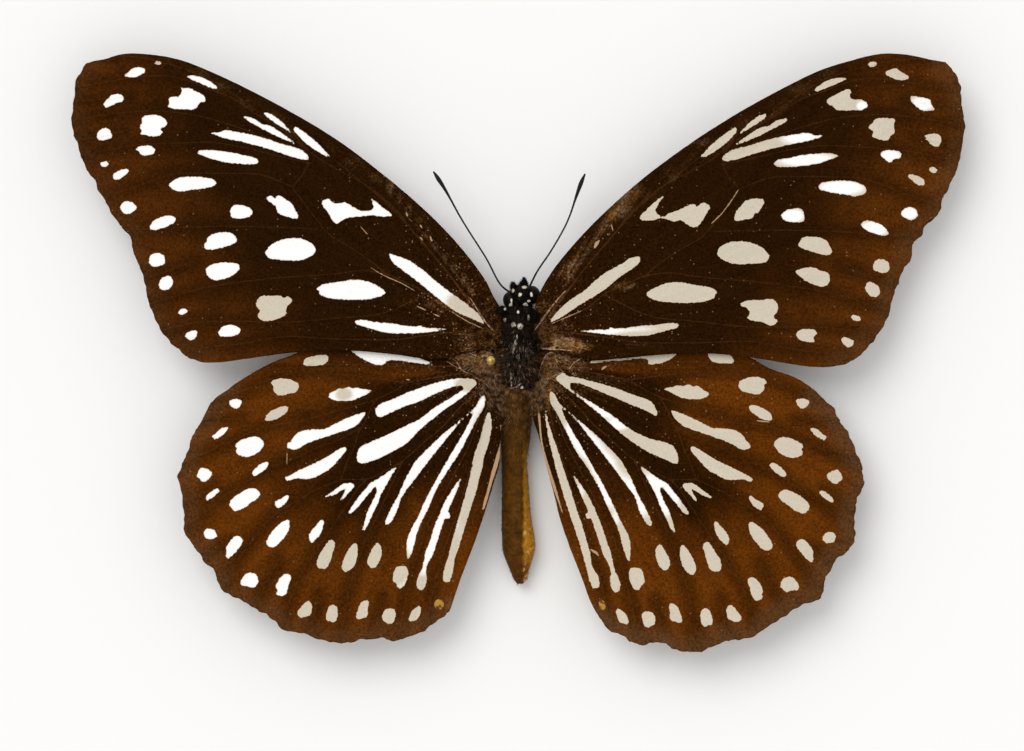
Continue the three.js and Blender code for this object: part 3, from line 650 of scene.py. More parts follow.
LEFT_FOREWING_EDGE = [
    (502.5, 330), (500.5, 309), (493.5, 296.5), (486.5, 282), (470.5, 259.5), (445, 230), (413, 199.5),
    (380.5, 172.5), (340, 142), (299.5, 117), (259, 95), (220, 76), (180, 60), (144.5, 54), (123.5, 54),
    (104.5, 59), (87.5, 63), (82, 69.5), (76.5, 80), (74.5, 101.5), (72, 124.5), (76, 139.5), (81, 155.5),
    (89.5, 173.5), (97, 184), (102.5, 196.5), (112, 213.5), (124.5, 231.5), (130, 237), (134, 253.5),
    (140.5, 268.5), (145.5, 285.5), (150, 303.5), (160.5, 330), (168, 339.5), (178.5, 350), (187, 357.5),
    (199.5, 362), (218.5, 362.5), (242, 359.5), (290, 353), (320, 351.5), (354, 351), (395, 354.5),
    (430, 359), (452, 357), (475, 350), (500, 347),
]


def turned_over(points, setting):
    """Right-hand places to left-hand ones."""
    (xx, xy, x0), (yx, yy, y0) = setting
    p = np.asarray(points, float)
    return np.column_stack([-(xx * p[:, 0] + xy * p[:, 1] + x0), yx * p[:, 0] + yy * p[:, 1] + y0])


def other_side(parts, setting):
    """The marks and veins of a right wing on the left side."""
    return {key: [turned_over(line, setting) for line in parts[key]] for key in ("marks", "veins")}


# Marks that differ from the right side's, by their number in its list
LEFT_FOREWING_MARKS = {
    0: [(388.4, 253.5), (393, 254.7), (401, 257.5), (408, 260), (420, 268), (434, 279.7), (452, 293.6),
        (468, 305), (478.7, 314.4), (484.5, 323.7), (473, 319), (457, 312), (440.5, 300.5), (424, 286.6),
        (406, 272.7), (394, 263.5), (389.6, 257)],
    1: [(322, 202.5), (324.5, 200), (328.5, 199.3), (335, 203.7), (345.5, 202.8), (353, 207), (360, 210.7),
        (368, 211.2), (372.5, 209.5), (374, 206), (368.5, 196.3), (376, 202), (384, 208.5), (392, 215.5),
        (384, 216.8), (371, 215.5), (358, 217), (349, 218), (343, 220), (337.5, 224), (333, 221),
        (328, 212), (324.5, 208)],
    8: [(154, 62.5), (157, 61.2), (161, 61.8), (162.5, 63.3), (159, 64.7), (155.5, 64.3)],
    9: [(123.5, 75.5), (129, 72), (131, 69.5), (137, 67.3), (142, 67.5), (145.5, 71), (141, 75),
        (133, 77.3), (126, 76.5)],
    10: [(179.5, 86.3), (182, 88.3), (190, 88.5), (196, 91.5), (203, 94.8), (205.5, 98), (205, 102),
         (201, 102.5), (199, 104.5), (197.5, 107), (193, 109.8), (186, 109.5), (178, 109.3), (170, 108),
         (168, 106), (169.5, 103.5), (169, 100), (170.5, 97.3), (178.5, 97), (181, 94), (182, 91)],
    11: [(103.3, 104), (108, 99), (111, 95.5), (119, 94), (124, 97.5), (123.5, 101), (118, 102.5),
         (112, 105.3), (106, 107.5)],
    12: [(143, 117), (150, 115.3), (156, 115), (161, 116.8), (166, 120), (167.3, 123.5), (165, 126.8),
         (160, 129), (163, 132.5), (159, 135.5), (152, 136.5), (146, 134.8), (140.5, 134), (142, 130.5),
         (139.8, 127), (142, 122.5)],
    13: [(97, 134.5), (100, 129.5), (107, 128.3), (111, 132), (111.7, 137), (107, 139.5), (100, 140.3),
         (97, 138)],
    14: [(136, 149), (139, 146.5), (145, 145.8), (151, 146), (155.3, 150), (154, 153.5), (148, 155.3),
         (141, 155), (139.5, 151.5)],
    20: [(267, 198), (270, 196), (273, 197), (275.5, 199.5), (276, 196.5), (278, 195.8), (282, 196.5),
         (286, 200), (291, 202.5), (294, 207), (297, 213), (299, 216), (298, 218.5), (294, 219), (289, 217),
         (284, 216), (278, 212.5), (276, 206.5), (273, 204), (268.5, 201)],
    23: [(206, 270), (210, 265.5), (219, 263), (230, 262.7), (238.5, 264.5), (240, 268.5), (236, 273.5),
         (226, 278.5), (216, 280.2), (208.5, 276.5)],
    27: [(218.5, 333), (222, 327.5), (229, 324.8), (237, 326.5), (241, 330.5), (238, 334.5), (228, 336.5),
         (221, 336.5)],
    31: [(256.5, 303), (259, 298), (262, 296.2), (270, 296), (280, 296), (285, 298), (288, 296.8),
         (291, 298), (292.5, 301), (291, 303.5), (288, 305.5), (286, 310), (287, 313.5), (282, 317),
         (275, 320), (268, 321), (262, 320.3), (258, 317), (259.5, 313), (261, 310.5), (258, 308)],
}
LEFT_FOREWING_LINES = [
    [(493.5, 331, 1.0), (490, 327, 1.6), (486.8, 323.5, 1.6), (479.5, 313, 1.1), (470, 297.5, 0.7)],
    [(452, 312, 0.5), (465, 320, 0.8), (475, 325, 0.8), (484, 329, 0.5)],
    [(371, 268, 0.4), (385, 276, 0.7), (403, 284, 0.7), (415, 291, 0.4)],
    [(406, 212, 1.4), (408, 217, 1.6)], [(409.5, 219.5, 1.1), (412, 221.5, 1.2)],
    [(420, 224.5, 1.8), (422, 228.5, 1.3)], [(420, 237, 1.4), (423, 241, 1.3)],
    [(430, 236, 1.3), (432, 241.5, 1.5)], [(416.5, 306, 1.0), (426.5, 310.5, 0.9)],
    [(433.5, 314, 1.1), (439.5, 316.5, 1.2)], [(360.5, 226.5, 0.7), (367.5, 234.5, 0.8)],
]
LEFT_FOREWING_WORN = [
    *((472 - 9 * k, 291 - 11.5 * k, 4.5, 9, 0.34) for k in range(10)),
    *((378 - 26 * k, 178 - 15 * k, 20, 9, 0.2) for k in range(9)),
    (440, 303, 24, 8, 0.32), (466, 338, 14, 8, 0.4), (475, 352, 12, 4, 0.5),
]
LEFT_FOREWING_DUSTY = [
    (440, 306, 28, 14, 0.7), (470, 345, 24, 8, 0.6), (466, 280, 14, 24, 0.45), (425, 228, 16, 20, 0.3),
]

# Marks that stay cream on this chalk white side
LEFT_FOREWING_CREAM = [
    (273, 307, 28, 22, -1.9), (462, 304, 18, 14, -1.1), (480, 319, 14, 12, -1.2), (158, 63, 10, 7, -1.5),
]

left_forewing_paint = wing_paint(
    "left forewing scales", dark="#251304", brown="#492508", reach=(2.0, 13.0), rim=0.2)
forewing_left = other_side(forewing_right, FOREWING_SETTING)
for number, line in LEFT_FOREWING_MARKS.items():
    forewing_left["marks"][number] = mark_outline(line)
forewing_left["lines"] = [path_and_edge(line) for line in LEFT_FOREWING_LINES]
forewing_left_skin = wing(
    "forewing_left_skin", from_photo(LEFT_FOREWING_EDGE), margin_start=16, fringe=0.1, **forewing_left,
    worn=in_mm(LEFT_FOREWING_WORN), chalk=in_mm(LEFT_FOREWING_CREAM), dusty=in_mm(LEFT_FOREWING_DUSTY),
    root=(-FOREWING_ROOT[0], FOREWING_ROOT[1]), root_z=FOREWING_Z, material=left_forewing_paint, seed=4,
    chalk_start=1.0)

# Right hindwing. It lies under the forewing, is browner outwards and has a scalloped
# margin. The long marks between its veins start at the root.

HINDWING_Z = 4.1
HINDWING_ROOT = (1.8, -1.5)

HINDWING_EDGE = [
    (540, 353), (575, 340), (620, 332), (670, 334), (715, 343), (751, 358), (770, 368.5), (797, 378.5),
    (820, 394.5), (834, 408), (839, 418), (847, 431.5), (853, 444), (860, 462), (864, 478), (861, 493),
    (857, 503), (855, 520), (855, 535), (849, 550), (837, 561), (829, 573), (824, 588), (818, 599),
    (804, 604), (790, 612.5), (770, 624.5), (761, 633), (750, 638), (733, 640), (713, 646), (701, 651),
    (676, 649.5), (662, 642.5), (647, 644.5), (630, 640), (612, 631.5), (601, 619.5), (592, 605),
    (582.5, 579.5), (570.5, 549), (560, 518.5), (553.5, 492), (546.5, 466), (542, 448.5), (538, 434),
    (533.5, 420), (531, 407), (531, 394),
]

HINDWING_VEINS = [
    [(548, 362), (590, 362), (640, 363), (700, 362), (770, 368.5)],
    [(545, 366), (570, 369), (600, 374), (627, 379), (655, 376.5), (685, 373), (717, 370.5), (741, 371),
     (768, 378), (795, 390), (823, 399)],
    [(627, 379), (642, 388), (660, 397), (675, 402), (698, 409), (722, 416), (741, 421.6), (762, 425),
     (780, 430), (805, 441), (830, 453), (860, 467)],
    [(660, 398), (664, 404), (672, 421), (679, 434), (683, 447), (690, 462), (694, 474), (697, 480)],
    [(674, 425), (698, 439), (719, 447), (745, 460), (771, 470), (800, 489), (815, 499), (830, 512),
     (853, 530)],
    [(696, 480), (720, 490), (741, 503), (760, 514), (776, 530), (790, 548), (806, 572), (818, 596)],
    [(541, 372), (550, 381), (561, 390), (578, 407), (593, 424), (608, 437), (634, 460), (649, 469),
     (668, 478.5), (685, 479.6), (697, 480)],
    [(668, 478.5), (677, 486), (690, 505), (713, 540), (728, 563), (745, 593), (757, 636)],
    [(634, 461), (643, 480), (652, 500), (664, 525), (674, 548), (683, 573), (690, 600), (699, 650)],
    [(543, 385), (552, 402), (565, 440), (580, 470), (595, 500), (608, 522), (618, 552), (629, 592),
     (639, 640)],
    [(541, 390), (548, 405), (556, 440), (567, 475), (580, 515), (592, 550), (602, 585), (610, 630)],
    [(797, 419), (839, 420)], [(823, 490), (857, 507)], [(810, 546), (836, 562)],
    [(760, 563), (787, 616)], [(720, 598), (728, 644)], [(655, 600), (665, 645)],
]

HINDWING_MARKS = [
    [(588, 363), (596, 359.8), (622, 358), (638, 356), (650, 355.3), (677.5, 353.6), (674, 356.3),
     (667, 361), (660, 363), (649, 364), (647.5, 359.5), (640, 358.3), (627, 360), (606, 361.8)],
    [(708.5, 353), (708.7, 357.5), (711.5, 361), (718, 363), (726, 363.6), (732, 363.3), (733.7, 361.7),
     (731.5, 356), (725, 354)],
    [(556, 377.5), (558, 375.5), (564.5, 372.5), (566, 375.3), (580, 378.3), (598, 383), (613, 387.3),
     (630, 393.7), (649, 400.5), (653, 404), (656.5, 410.5), (657, 415.8), (645.5, 410.5), (629, 403.5),
     (608.5, 395), (592, 388), (578, 383), (570.5, 383.2), (571, 389), (581, 396), (596.5, 405.5),
     (613, 416), (627, 427), (638, 433.3), (648, 438), (670, 444), (673.5, 446.5), (678.3, 458),
     (677, 463.5), (662, 458), (648, 451.7), (637.5, 445.5), (617, 430), (600.5, 414.7), (580, 398.3),
     (563.5, 386), (558.5, 382)],
    [(550.5, 391), (553, 392.3), (560, 404), (567, 410.3), (579, 420.4), (592.4, 431.7), (604.7, 443.5),
     (617, 455.8), (621.2, 461), (630.4, 477.3), (638, 494.5), (647, 511.4), (651.8, 524.8), (649, 525.7),
     (640, 512), (635, 497), (624, 481.6), (607, 459), (590, 437.3), (576, 420), (565, 410.2), (562, 408.6),
     (563, 413), (570, 427.2), (582, 447.6), (595.5, 471.2), (608, 494), (619, 517.5), (628.3, 536),
     (630.4, 545.5), (628.9, 561), (624, 550.4), (618, 528.5), (608, 507.8), (599.5, 488.3), (588.5, 469.5),
     (576, 450.6), (565, 429), (556.5, 412.7), (550.3, 401.4)],
    [(573.5, 475.5), (579, 482), (586, 492), (592, 503), (598, 517), (602.5, 528), (606, 540), (610, 550),
     (612.5, 560), (614.5, 570), (618, 577), (620.3, 584), (620, 589), (617, 592.3), (613, 590.5),
     (611, 586), (610.3, 579), (611, 573), (609, 565), (604, 556), (599.5, 543), (594, 526), (591, 518.5),
     (587, 518.5), (586, 514), (588, 512), (583, 499), (578, 487)],
    [(664, 388.5), (672, 387), (681, 385.3), (683, 386.3), (688, 384.5), (694, 386.8), (698, 386.3),
     (702, 389), (709, 394), (702, 398.5), (691, 399), (685, 398.7), (674, 394), (669, 391.5)],
    [(671, 410.7), (680, 413), (690, 417), (701, 422.5), (713, 428), (724, 428.7), (737, 431), (744, 437),
     (746.5, 441), (750, 444), (750, 448), (742, 449.5), (730, 443), (717, 438), (704, 433.5), (691, 429),
     (684, 426.5), (678, 421.5), (674, 416.5)],
    [(690.5, 449), (692, 446), (700, 450), (712, 457.5), (725, 464.5), (739, 471), (751, 477.3),
     (754.5, 478), (752, 480), (752, 482), (743, 479.5), (727, 479.5), (714, 473), (708, 469.5), (698, 459),
     (693.5, 453.5)],
    [(738.5, 385), (739.5, 381.5), (747, 378), (757, 377), (765.5, 380), (767, 383), (764, 384.5),
     (764, 389), (758.5, 394.3), (748, 392.5), (742, 391), (739.5, 388.5)],
    [(749, 407.5), (750.5, 405.2), (761, 407.5), (767, 410.5), (771, 415), (773, 420), (764, 419.5),
     (757, 416), (751, 411.5)],
    [(774, 445), (775.5, 441), (782, 437), (795, 440), (801, 443.5), (803.5, 446.5), (802, 448.5),
     (802, 454.5), (793, 457.8), (787, 456.8), (780, 453), (776, 449)],
    [(769.3, 465), (771.5, 462.5), (776, 464), (785, 471.5), (786.5, 475), (784, 477.3), (774, 471)],
    [(796, 400.5), (801, 398.5), (808, 400), (809.3, 402.5), (806, 407), (802.5, 408.5), (799, 407)],
    [(810, 428), (817, 429), (822, 433.5), (826.5, 437.5), (824.5, 440.3), (820, 438.5), (814, 434)],
    [(827, 475), (829, 472.5), (837, 470), (840, 472), (842.5, 479), (839, 481.5), (836.5, 484.2),
     (829, 479.5)],
    [(819.5, 492.5), (821.5, 490.8), (830, 495.5), (833.5, 500.5), (833, 503), (829, 501.5), (823, 497)],
    [(778.3, 495.5), (781, 491.5), (785, 489.8), (790, 490.7), (797, 494), (803, 498), (808, 503),
     (809.5, 507), (807, 511), (804.5, 513.5), (800, 512.5), (794, 510), (788, 505), (782, 501)],
    [(749, 497), (750.5, 495.5), (754, 498.5), (763.5, 504.5), (762.5, 508), (761, 510), (757, 508.5),
     (749.5, 500.5)],
    [(749, 523), (751, 521.7), (757, 525), (763, 530), (768, 536.5), (772.5, 546), (770, 549.5),
     (766.5, 550.3), (763, 549.5), (752, 537), (749, 530)],
    [(714, 522), (715.5, 521), (724, 530), (728.5, 536), (729, 540), (727, 545), (718, 537), (715, 530)],
    [(703, 545.5), (704.5, 542.5), (708, 542), (712, 547), (720, 560), (721.5, 566.5), (720, 570.5),
     (715.5, 571.5), (711, 570), (705, 554.5)],
    [(680, 549), (682, 544.5), (686, 547.5), (695, 563.5), (696, 570), (693, 574.5), (688, 572.5),
     (683, 567), (680.5, 558.5)],
    [(655.5, 551), (657.5, 546), (660, 544), (664, 549), (670, 562), (669, 567), (665.5, 570.5), (661, 568),
     (657, 560.5)],
    [(629.5, 571), (631, 568), (637, 568), (641, 569), (644.5, 581), (643, 584.5), (641, 585), (640, 589),
     (637.5, 590.5), (633.5, 588), (629, 576)],
    [(616, 612.5), (617.5, 608.5), (625, 613.5), (627.5, 618), (628.5, 624), (620, 622), (618, 618)],
    [(642, 616), (643, 612.5), (650, 611.5), (653, 613.5), (655.3, 618), (655, 623), (647, 627.5),
     (644, 625)],
    [(669.5, 603.5), (674, 604), (677.5, 607), (680, 613), (682, 622), (671, 620), (670, 612)],
    [(700.5, 615), (701.5, 610.5), (705, 608.5), (709, 610), (712.5, 621.5), (711, 625), (708.5, 624.5),
     (705.5, 626.5), (702, 624)],
    [(726.5, 609), (730, 605), (736, 609.5), (738, 612.5), (741, 616), (741, 619.5), (738, 621.8),
     (731, 620.5), (728, 618.5)],
    [(747.5, 579.5), (753.5, 577.3), (758, 581), (763, 592), (761, 594), (763, 597.5), (757, 600.5),
     (753, 598), (749, 585.5)],
    [(780.5, 585), (784, 578), (791.5, 577), (795.5, 580.5), (798.5, 585), (798, 590), (792, 590.5),
     (787, 592), (783, 590)],
    [(796, 544), (799, 540), (803, 539), (807, 542), (813.5, 552.5), (812.5, 555.5), (813.5, 558.5),
     (812, 562.5), (803, 555)],
    [(822.5, 538), (825, 534), (830, 532), (834.5, 533.5), (835.8, 537.5), (834, 541.5), (829, 543),
     (825, 542.3)],
    [(640, 466), (652, 474), (660, 479.5), (667, 483.5), (672, 489.5), (679, 498), (689, 514.5),
     (685, 513.5), (674, 501), (666, 491.5), (661.5, 486.5), (660, 490), (664, 501), (670, 513.5),
     (674.5, 532.5), (671, 529), (666, 518), (660, 505.5), (655.5, 494), (645, 475)],
    [(682.5, 485.5), (685, 483.5), (692, 483.3), (697, 486), (702, 490), (708, 494), (712.5, 498),
     (702, 495), (696, 491), (691.5, 489), (693, 493), (697, 501), (694.5, 500.5), (690, 495)],
    ribbon([(545.5, 411, 1.5), (548.5, 428, 3), (553, 445, 5.5), (559, 466, 7), (566, 489, 8),
            (573, 511, 8), (580, 532, 8), (586, 552, 7.5), (589.5, 568, 6), (594, 579, 9.5),
            (596, 587.5, 7)]),
]

HINDWING_LINES = [
    [(538, 404, 1.8), (539, 414, 2.2), (540, 426, 1.8), (541.3, 440, 1.6), (544.5, 455, 2.0),
     (548, 467, 2.4), (552, 480, 2.8), (555.5, 491, 2.8), (559, 502, 1.4), (562.5, 513, 0.9)],
    [(539, 373, 0.6), (541, 366, 0.9), (543.5, 360, 1.1), (546.5, 355, 1.4), (551, 352.3, 1.5),
     (556, 353.5, 0.9)],
    [(555, 357, 0.6), (557, 361, 0.9), (556.5, 366, 1.4)],
    [(541, 377, 0.5), (548, 379, 0.8), (556, 375, 0.7), (565, 371, 0.5)],
    [(538, 377, 0.4), (541, 384, 0.9), (544, 391, 0.5)],
    [(590, 549.5, 1.5), (595, 552, 2.6), (599, 556, 1.6)],
    [(756, 420.5, 0.8), (763, 421.3, 1.2), (770, 422, 0.8)],
    [(601.5, 370, 0.8), (604, 367.5, 2.2), (607, 366, 1.0)],
    [(569, 369, 0.8), (575, 362, 0.8), (582, 358, 0.6)],
]

HINDWING_WORN = [
    (550, 372, 9, 14, 0.8), (560, 360, 14, 7, 0.6), (547, 395, 6, 18, 0.55), (575, 364, 16, 6, 0.3),
    (600, 385, 50, 32, 0.2), (590, 604, 7, 7, 0.5),
]

# Places where the outer brown reaches inwards: centre, reach along x and y, how far in mm
HINDWING_WARM = [(640, 365, 62, 9, 18), (720, 392, 42, 24, 9), (700, 425, 30, 22, 4)]

HINDWING_CHALK = [
    (590, 400, 10, 6, 1.0), (604, 411, 12, 7, 1.0), (619, 424, 12, 7, 1.0), (575, 430, 12, 12, 1.0),
    (588, 446, 14, 13, 1.0), (603, 466, 14, 15, 1.0), (620, 492, 14, 18, 1.0), (603, 494, 8, 14, 0.8),
    (616, 520, 6, 10, 0.5), (662, 492, 20, 26, 1.2), (638, 500, 8, 22, 0.7), (580, 492, 7, 12, 0.6),
]

HINDWING_DUSTY = [(560, 385, 26, 24, 0.3)]

hindwing_right = wing_lines(HINDWING_MARKS, HINDWING_LINES, HINDWING_VEINS)
hindwing_paint = wing_paint("hindwing scales", dark="#241203", brown="#5e3008", reach=(6.0, 17.0), rim=0.75)
hindwing_right_skin = wing(
    "hindwing_right_skin", from_photo(HINDWING_EDGE), margin_start=8, fringe=0.13, **hindwing_right,
    worn=in_mm(HINDWING_WORN), chalk=in_mm(HINDWING_CHALK), dusty=in_mm(HINDWING_DUSTY),
    root=HINDWING_ROOT, root_z=HINDWING_Z, material=hindwing_paint, seed=5, warmed=in_mm(HINDWING_WARM))

# Left hindwing. The right one turned over and set anew, again with its own margin. Three of
# its marks have their own outline, and most are chalk white.

HINDWING_SETTING = ((0.987, 0.0066, 0.287), (0.0134, 0.9745, -0.537))

LEFT_HINDWING_EDGE = [
    (497, 357), (465, 343), (420, 333), (375, 331), (330, 339), (297, 353), (269, 364), (239.5, 381),
    (225.5, 391), (211.5, 403), (208, 410), (200, 422.5), (190, 443), (181, 467), (179, 477), (181, 489),
    (183, 501), (185, 515), (185, 531), (189, 540), (203, 559), (212, 567), (218, 582), (224, 593),
    (238.5, 599), (259.5, 611), (269, 615), (283, 630), (299, 632), (317, 638.5), (335, 643), (350, 642),
    (366, 640), (380, 638), (396, 640.5), (412, 636.5), (430.5, 626), (447.5, 614), (454, 598.5),
    (460, 580.5), (473, 546.5), (484, 515), (495, 479), (499, 467), (500, 450), (501, 430), (502, 412),
    (502, 395),
]

LEFT_FRONT_STREAK = [
    (350, 349), (356, 354.5), (363, 359), (370, 362.5), (376, 364.5), (384, 364.3), (387, 360.8),
    (396, 360.3), (412, 362.3), (433, 364.5), (420, 358.5), (395, 354), (370, 350.5),
]

LEFT_ROOT_MARK = [
    (476, 381.5), (472, 379), (464.8, 378.3), (455, 378.8), (442.7, 381), (424, 386.6), (405.8, 393.2),
    (391, 400), (380, 404), (376, 409), (375.5, 413), (379.5, 417), (391, 412.4), (405.8, 406), (420, 401),
    (440, 391.5), (456.7, 385.8), (463, 386), (464, 388), (452, 397), (434, 408), (419.6, 419),
    (409.5, 424), (391, 433), (371, 442), (360, 447.5), (357, 455), (357.5, 461.5), (361, 463.5),
    (376, 459.5), (391, 452.2), (406, 443.5), (420.6, 429), (437.6, 415), (452, 404.3), (464, 396),
    (473.5, 387), (476.5, 384),
]

LEFT_BODY_STREAK = [
    (489, 413, 2.5), (488, 422, 7), (486.5, 432, 9), (483, 445, 9.5), (479.5, 455, 10), (477, 467, 10),
    (474, 480, 9.5), (471, 492, 9.5), (467, 505, 9), (462, 522, 8.5), (456, 542, 8), (451, 560, 7),
    (448, 573, 9), (446, 582, 6.5),
]
LEFT_TAN_LINE = [
    (500.5, 425, 1.0), (502, 435, 1.6), (501, 445, 2.6), (498.5, 455, 3.6), (496, 464, 4.0),
    (493.3, 473, 3.8), (490.5, 483, 3.0), (488, 492, 2.6), (485.5, 501, 3.0), (483, 510, 1.6),
]
LEFT_HINDWING_LINES = [
    LEFT_TAN_LINE,
    [(452, 358.5, 0.2), (456, 361, 0.3), (463, 370.8, 0.4), (471, 374, 0.35), (480.5, 380.4, 0.4),
     (487, 381.6, 0.3)],
    [(446, 361, 0.2), (452, 364.5, 0.4), (458, 368.5, 0.2)], [(406, 379.5, 1.0), (410, 380, 1.2)],
    [(468, 352, 0.5), (474, 355, 0.8), (480, 357, 0.5)],
    [(481, 357.5, 1.2), (485, 355.5, 2.8), (489.5, 357, 2.0)], [(287, 452, 0.6), (287, 464, 0.8)],
]
LEFT_HINDWING_WORN = [
    (484.5, 357, 7, 5, 1.0), (486, 372, 9, 10, 0.5), (478, 366, 14, 6, 0.4), (493, 392, 5, 16, 0.5),
    (440, 385, 50, 30, 0.2), (418, 522, 5, 14, 0.5), (450, 606, 6, 7, 0.5), (464, 357, 14, 5, 0.7),
    (487, 355, 5, 4, 1.0),
]
LEFT_HINDWING_WARM = [(400, 371, 52, 8, 18), (340, 374, 34, 16, 6)]
LEFT_HINDWING_DUSTY = [(476, 385, 24, 22, 0.4)]

# Marks that stay cream on this chalk white side
LEFT_HINDWING_CREAM = [
    (484, 440, 14, 34, -1.1), (470, 500, 14, 34, -1.1), (452, 560, 14, 34, -1.0), (468, 384, 14, 8, -1.2),
    (319, 359, 16, 9, -1.7), (288, 385, 18, 12, -1.8), (277, 413.5, 15, 11, -1.7), (344, 394, 11, 9, -0.9),
    (340, 560, 32, 24, -1.6), (385, 566, 28, 24, -1.4), (328, 612, 40, 16, -1.6), (390, 614, 36, 14, -1.6),
    (424, 586, 8, 10, -1.1), (446, 584, 10, 12, -0.8),
]

left_hindwing_paint = wing_paint(
    "left hindwing scales", dark="#241203", brown="#5a2e08", reach=(5.5, 16.0), rim=0.5)
hindwing_left = other_side(hindwing_right, HINDWING_SETTING)
hindwing_left["marks"][0] = mark_outline(LEFT_FRONT_STREAK)
hindwing_left["marks"][2] = mark_outline(LEFT_ROOT_MARK)
hindwing_left["marks"][-1] = from_photo(ribbon(LEFT_BODY_STREAK))
hindwing_left["lines"] = [path_and_edge(line) for line in LEFT_HINDWING_LINES]
hindwing_left_skin = wing(
    "hindwing_left_skin", from_photo(LEFT_HINDWING_EDGE), margin_start=8, fringe=0.11, **hindwing_left,
    worn=in_mm(LEFT_HINDWING_WORN), chalk=in_mm(LEFT_HINDWING_CREAM), dusty=in_mm(LEFT_HINDWING_DUSTY),
    root=(-HINDWING_ROOT[0], HINDWING_ROOT[1]), root_z=HINDWING_Z, material=left_hindwing_paint, seed=6,
    chalk_start=1.0, warmed=in_mm(LEFT_HINDWING_WARM))

# Scent patches. A male's hindwings each carry a small raised pouch of golden scales near
# the inner corner. They are low domes set on the upper face, mottled dark.

# Centre in pixels, half width and half length in pixels, and turn
SCENT_PATCHES = {"right": (602.3, 605, 3.4, 5.4, 0.35), "left": (439, 604.5, 5.0, 5.4, 0.0)}
PATCH_RISE = 0.16


def bands(rings, sides):
    """Faces between neighbouring rings of points."""
    faces = []
    for r in range(rings - 1):
        for s in range(sides):
            a, b = r * sides + s, r * sides + (s + 1) % sides
            faces.append((a, a + sides, b + sides, b))
    return faces


def ball(name, centre, sizes, material, turn=0.0, across=48, rows=24):
    """A ball stretched to its half sizes, in millimetres."""
    points = []
    for r in range(rows + 1):
        up = math.pi * r / rows
        for s in range(across):
            aside = 2 * math.pi * s / across
            x = sizes[0] * math.sin(up) * math.cos(aside)
            y = sizes[1] * math.sin(up) * math.sin(aside)
            points.append((
                centre[0] + x * math.cos(turn) - y * math.sin(turn),
                centre[1] + x * math.sin(turn) + y * math.cos(turn),
                centre[2] + sizes[2] * math.cos(up)))
    return new_object(name, points, bands(rows + 1, across), material)


def keep(piece, slot, *nodes):
    """The piece rides on the one body and stands for those parts of the frame."""
    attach(piece, "root")
    if nodes:
        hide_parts(*nodes)


golden = Paint("golden scales")
golden_spots = golden.noise(golden.place(), 2.6, 3.0)
golden.finish(
    Base_Color=golden.mix(golden_spots.rise(0.34, 0.48), tone("#4a2c0a"), tone("#b08030")),
    Roughness=0.5, Specular_IOR_Level=0.15, Normal=golden.bump(golden_spots, 0.08, 0.6))
for label, (px, py, wide, tall, turn) in SCENT_PATCHES.items():
    (x, y), = from_photo([(px, py)])
    middle = (x, y, wing_height(x, HINDWING_Z))
    sizes = (wide * PIXEL, tall * PIXEL, PATCH_RISE)
    keep(ball("scent_patch_" + label, middle, sizes, golden.material, turn, across=28, rows=10),
         "hindwing_scales")

# Thorax. A hard dark box full of dry muscle, felted with short black hair that lies back,
# with small tufts of white hair; the pale streak down its back is partly painted highlight.
# The skin is a smooth loft and the hair is set over it.

# Place along the body, middle x, half width, lowest and highest z
THORAX = [
    (4.7, 0.15, 0.75, 2.2, 4.3), (4.25, 0.0, 1.45, 1.2, 5.0), (3.4, 0.0, 1.85, 0.35, 5.5),
    (2.2, 0.05, 2.0, 0.0, 5.85), (0.8, 0.1, 2.08, 0.0, 6.0), (-0.8, 0.1, 2.02, 0.0, 5.85),
    (-2.2, 0.12, 1.88, 0.0, 5.35), (-3.3, 0.15, 1.6, 0.5, 4.8), (-3.9, 0.2, 1.3, 1.0, 4.3),
]

REAR_HAIR = "#54402e"
TUFT_AND_GLINT_WHITE = "#ded3c2"

# White tufts seen from above, in pixels: centre, then half width and half length. The streak
# down the middle of the back and the grey patch left of it are partly painted highlight on the hair.
THORAX_TUFTS_AND_GLINTS = [
    (505, 309, 1.2, 1.5), (504.7, 319.5, 1.8, 2.0), (513.5, 325, 2.6, 2.4), (520.3, 326.3, 2.9, 3.0),
    (528.5, 317.5, 1.1, 2.8), (518, 312, 1.4, 1.6), (517, 337.5, 0.8, 2.8), (515.4, 342.5, 1.1, 3.4),
    (514, 347.5, 1.2, 3.4), (512.8, 352, 0.8, 2.6), (501.5, 355, 1.1, 0.9), (534, 358.3, 1.9, 1.1),
    (538.6, 361.5, 1.3, 0.9), (510.7, 374, 0.8, 1.5), (511.2, 378, 0.9, 2.0), (511.4, 384, 0.8, 2.6),
    (522, 387.5, 1.6, 1.6), (501, 342, 1.4, 1.6), (509, 364.5, 0.7, 0.9),
]


def loft(name, sections, sides, step, material):
    """A round piece along Y, through sections given like the thorax's."""
    rings = curve_through(sections, step)
    turn = 2 * np.pi * np.arange(sides) / sides
    points = []
    for y, cx, half, low, high in rings:
        z = (low + high) / 2 + (high - low) / 2 * np.cos(turn)
        points.append(np.column_stack([cx + half * np.sin(turn), np.full(sides, y), z]))
    faces = bands(len(rings), sides)
    faces.append(tuple(range(sides)))
    faces.append(tuple(reversed(range((len(rings) - 1) * sides, len(rings) * sides))))
    return new_object(name, np.vstack(points), faces, material)


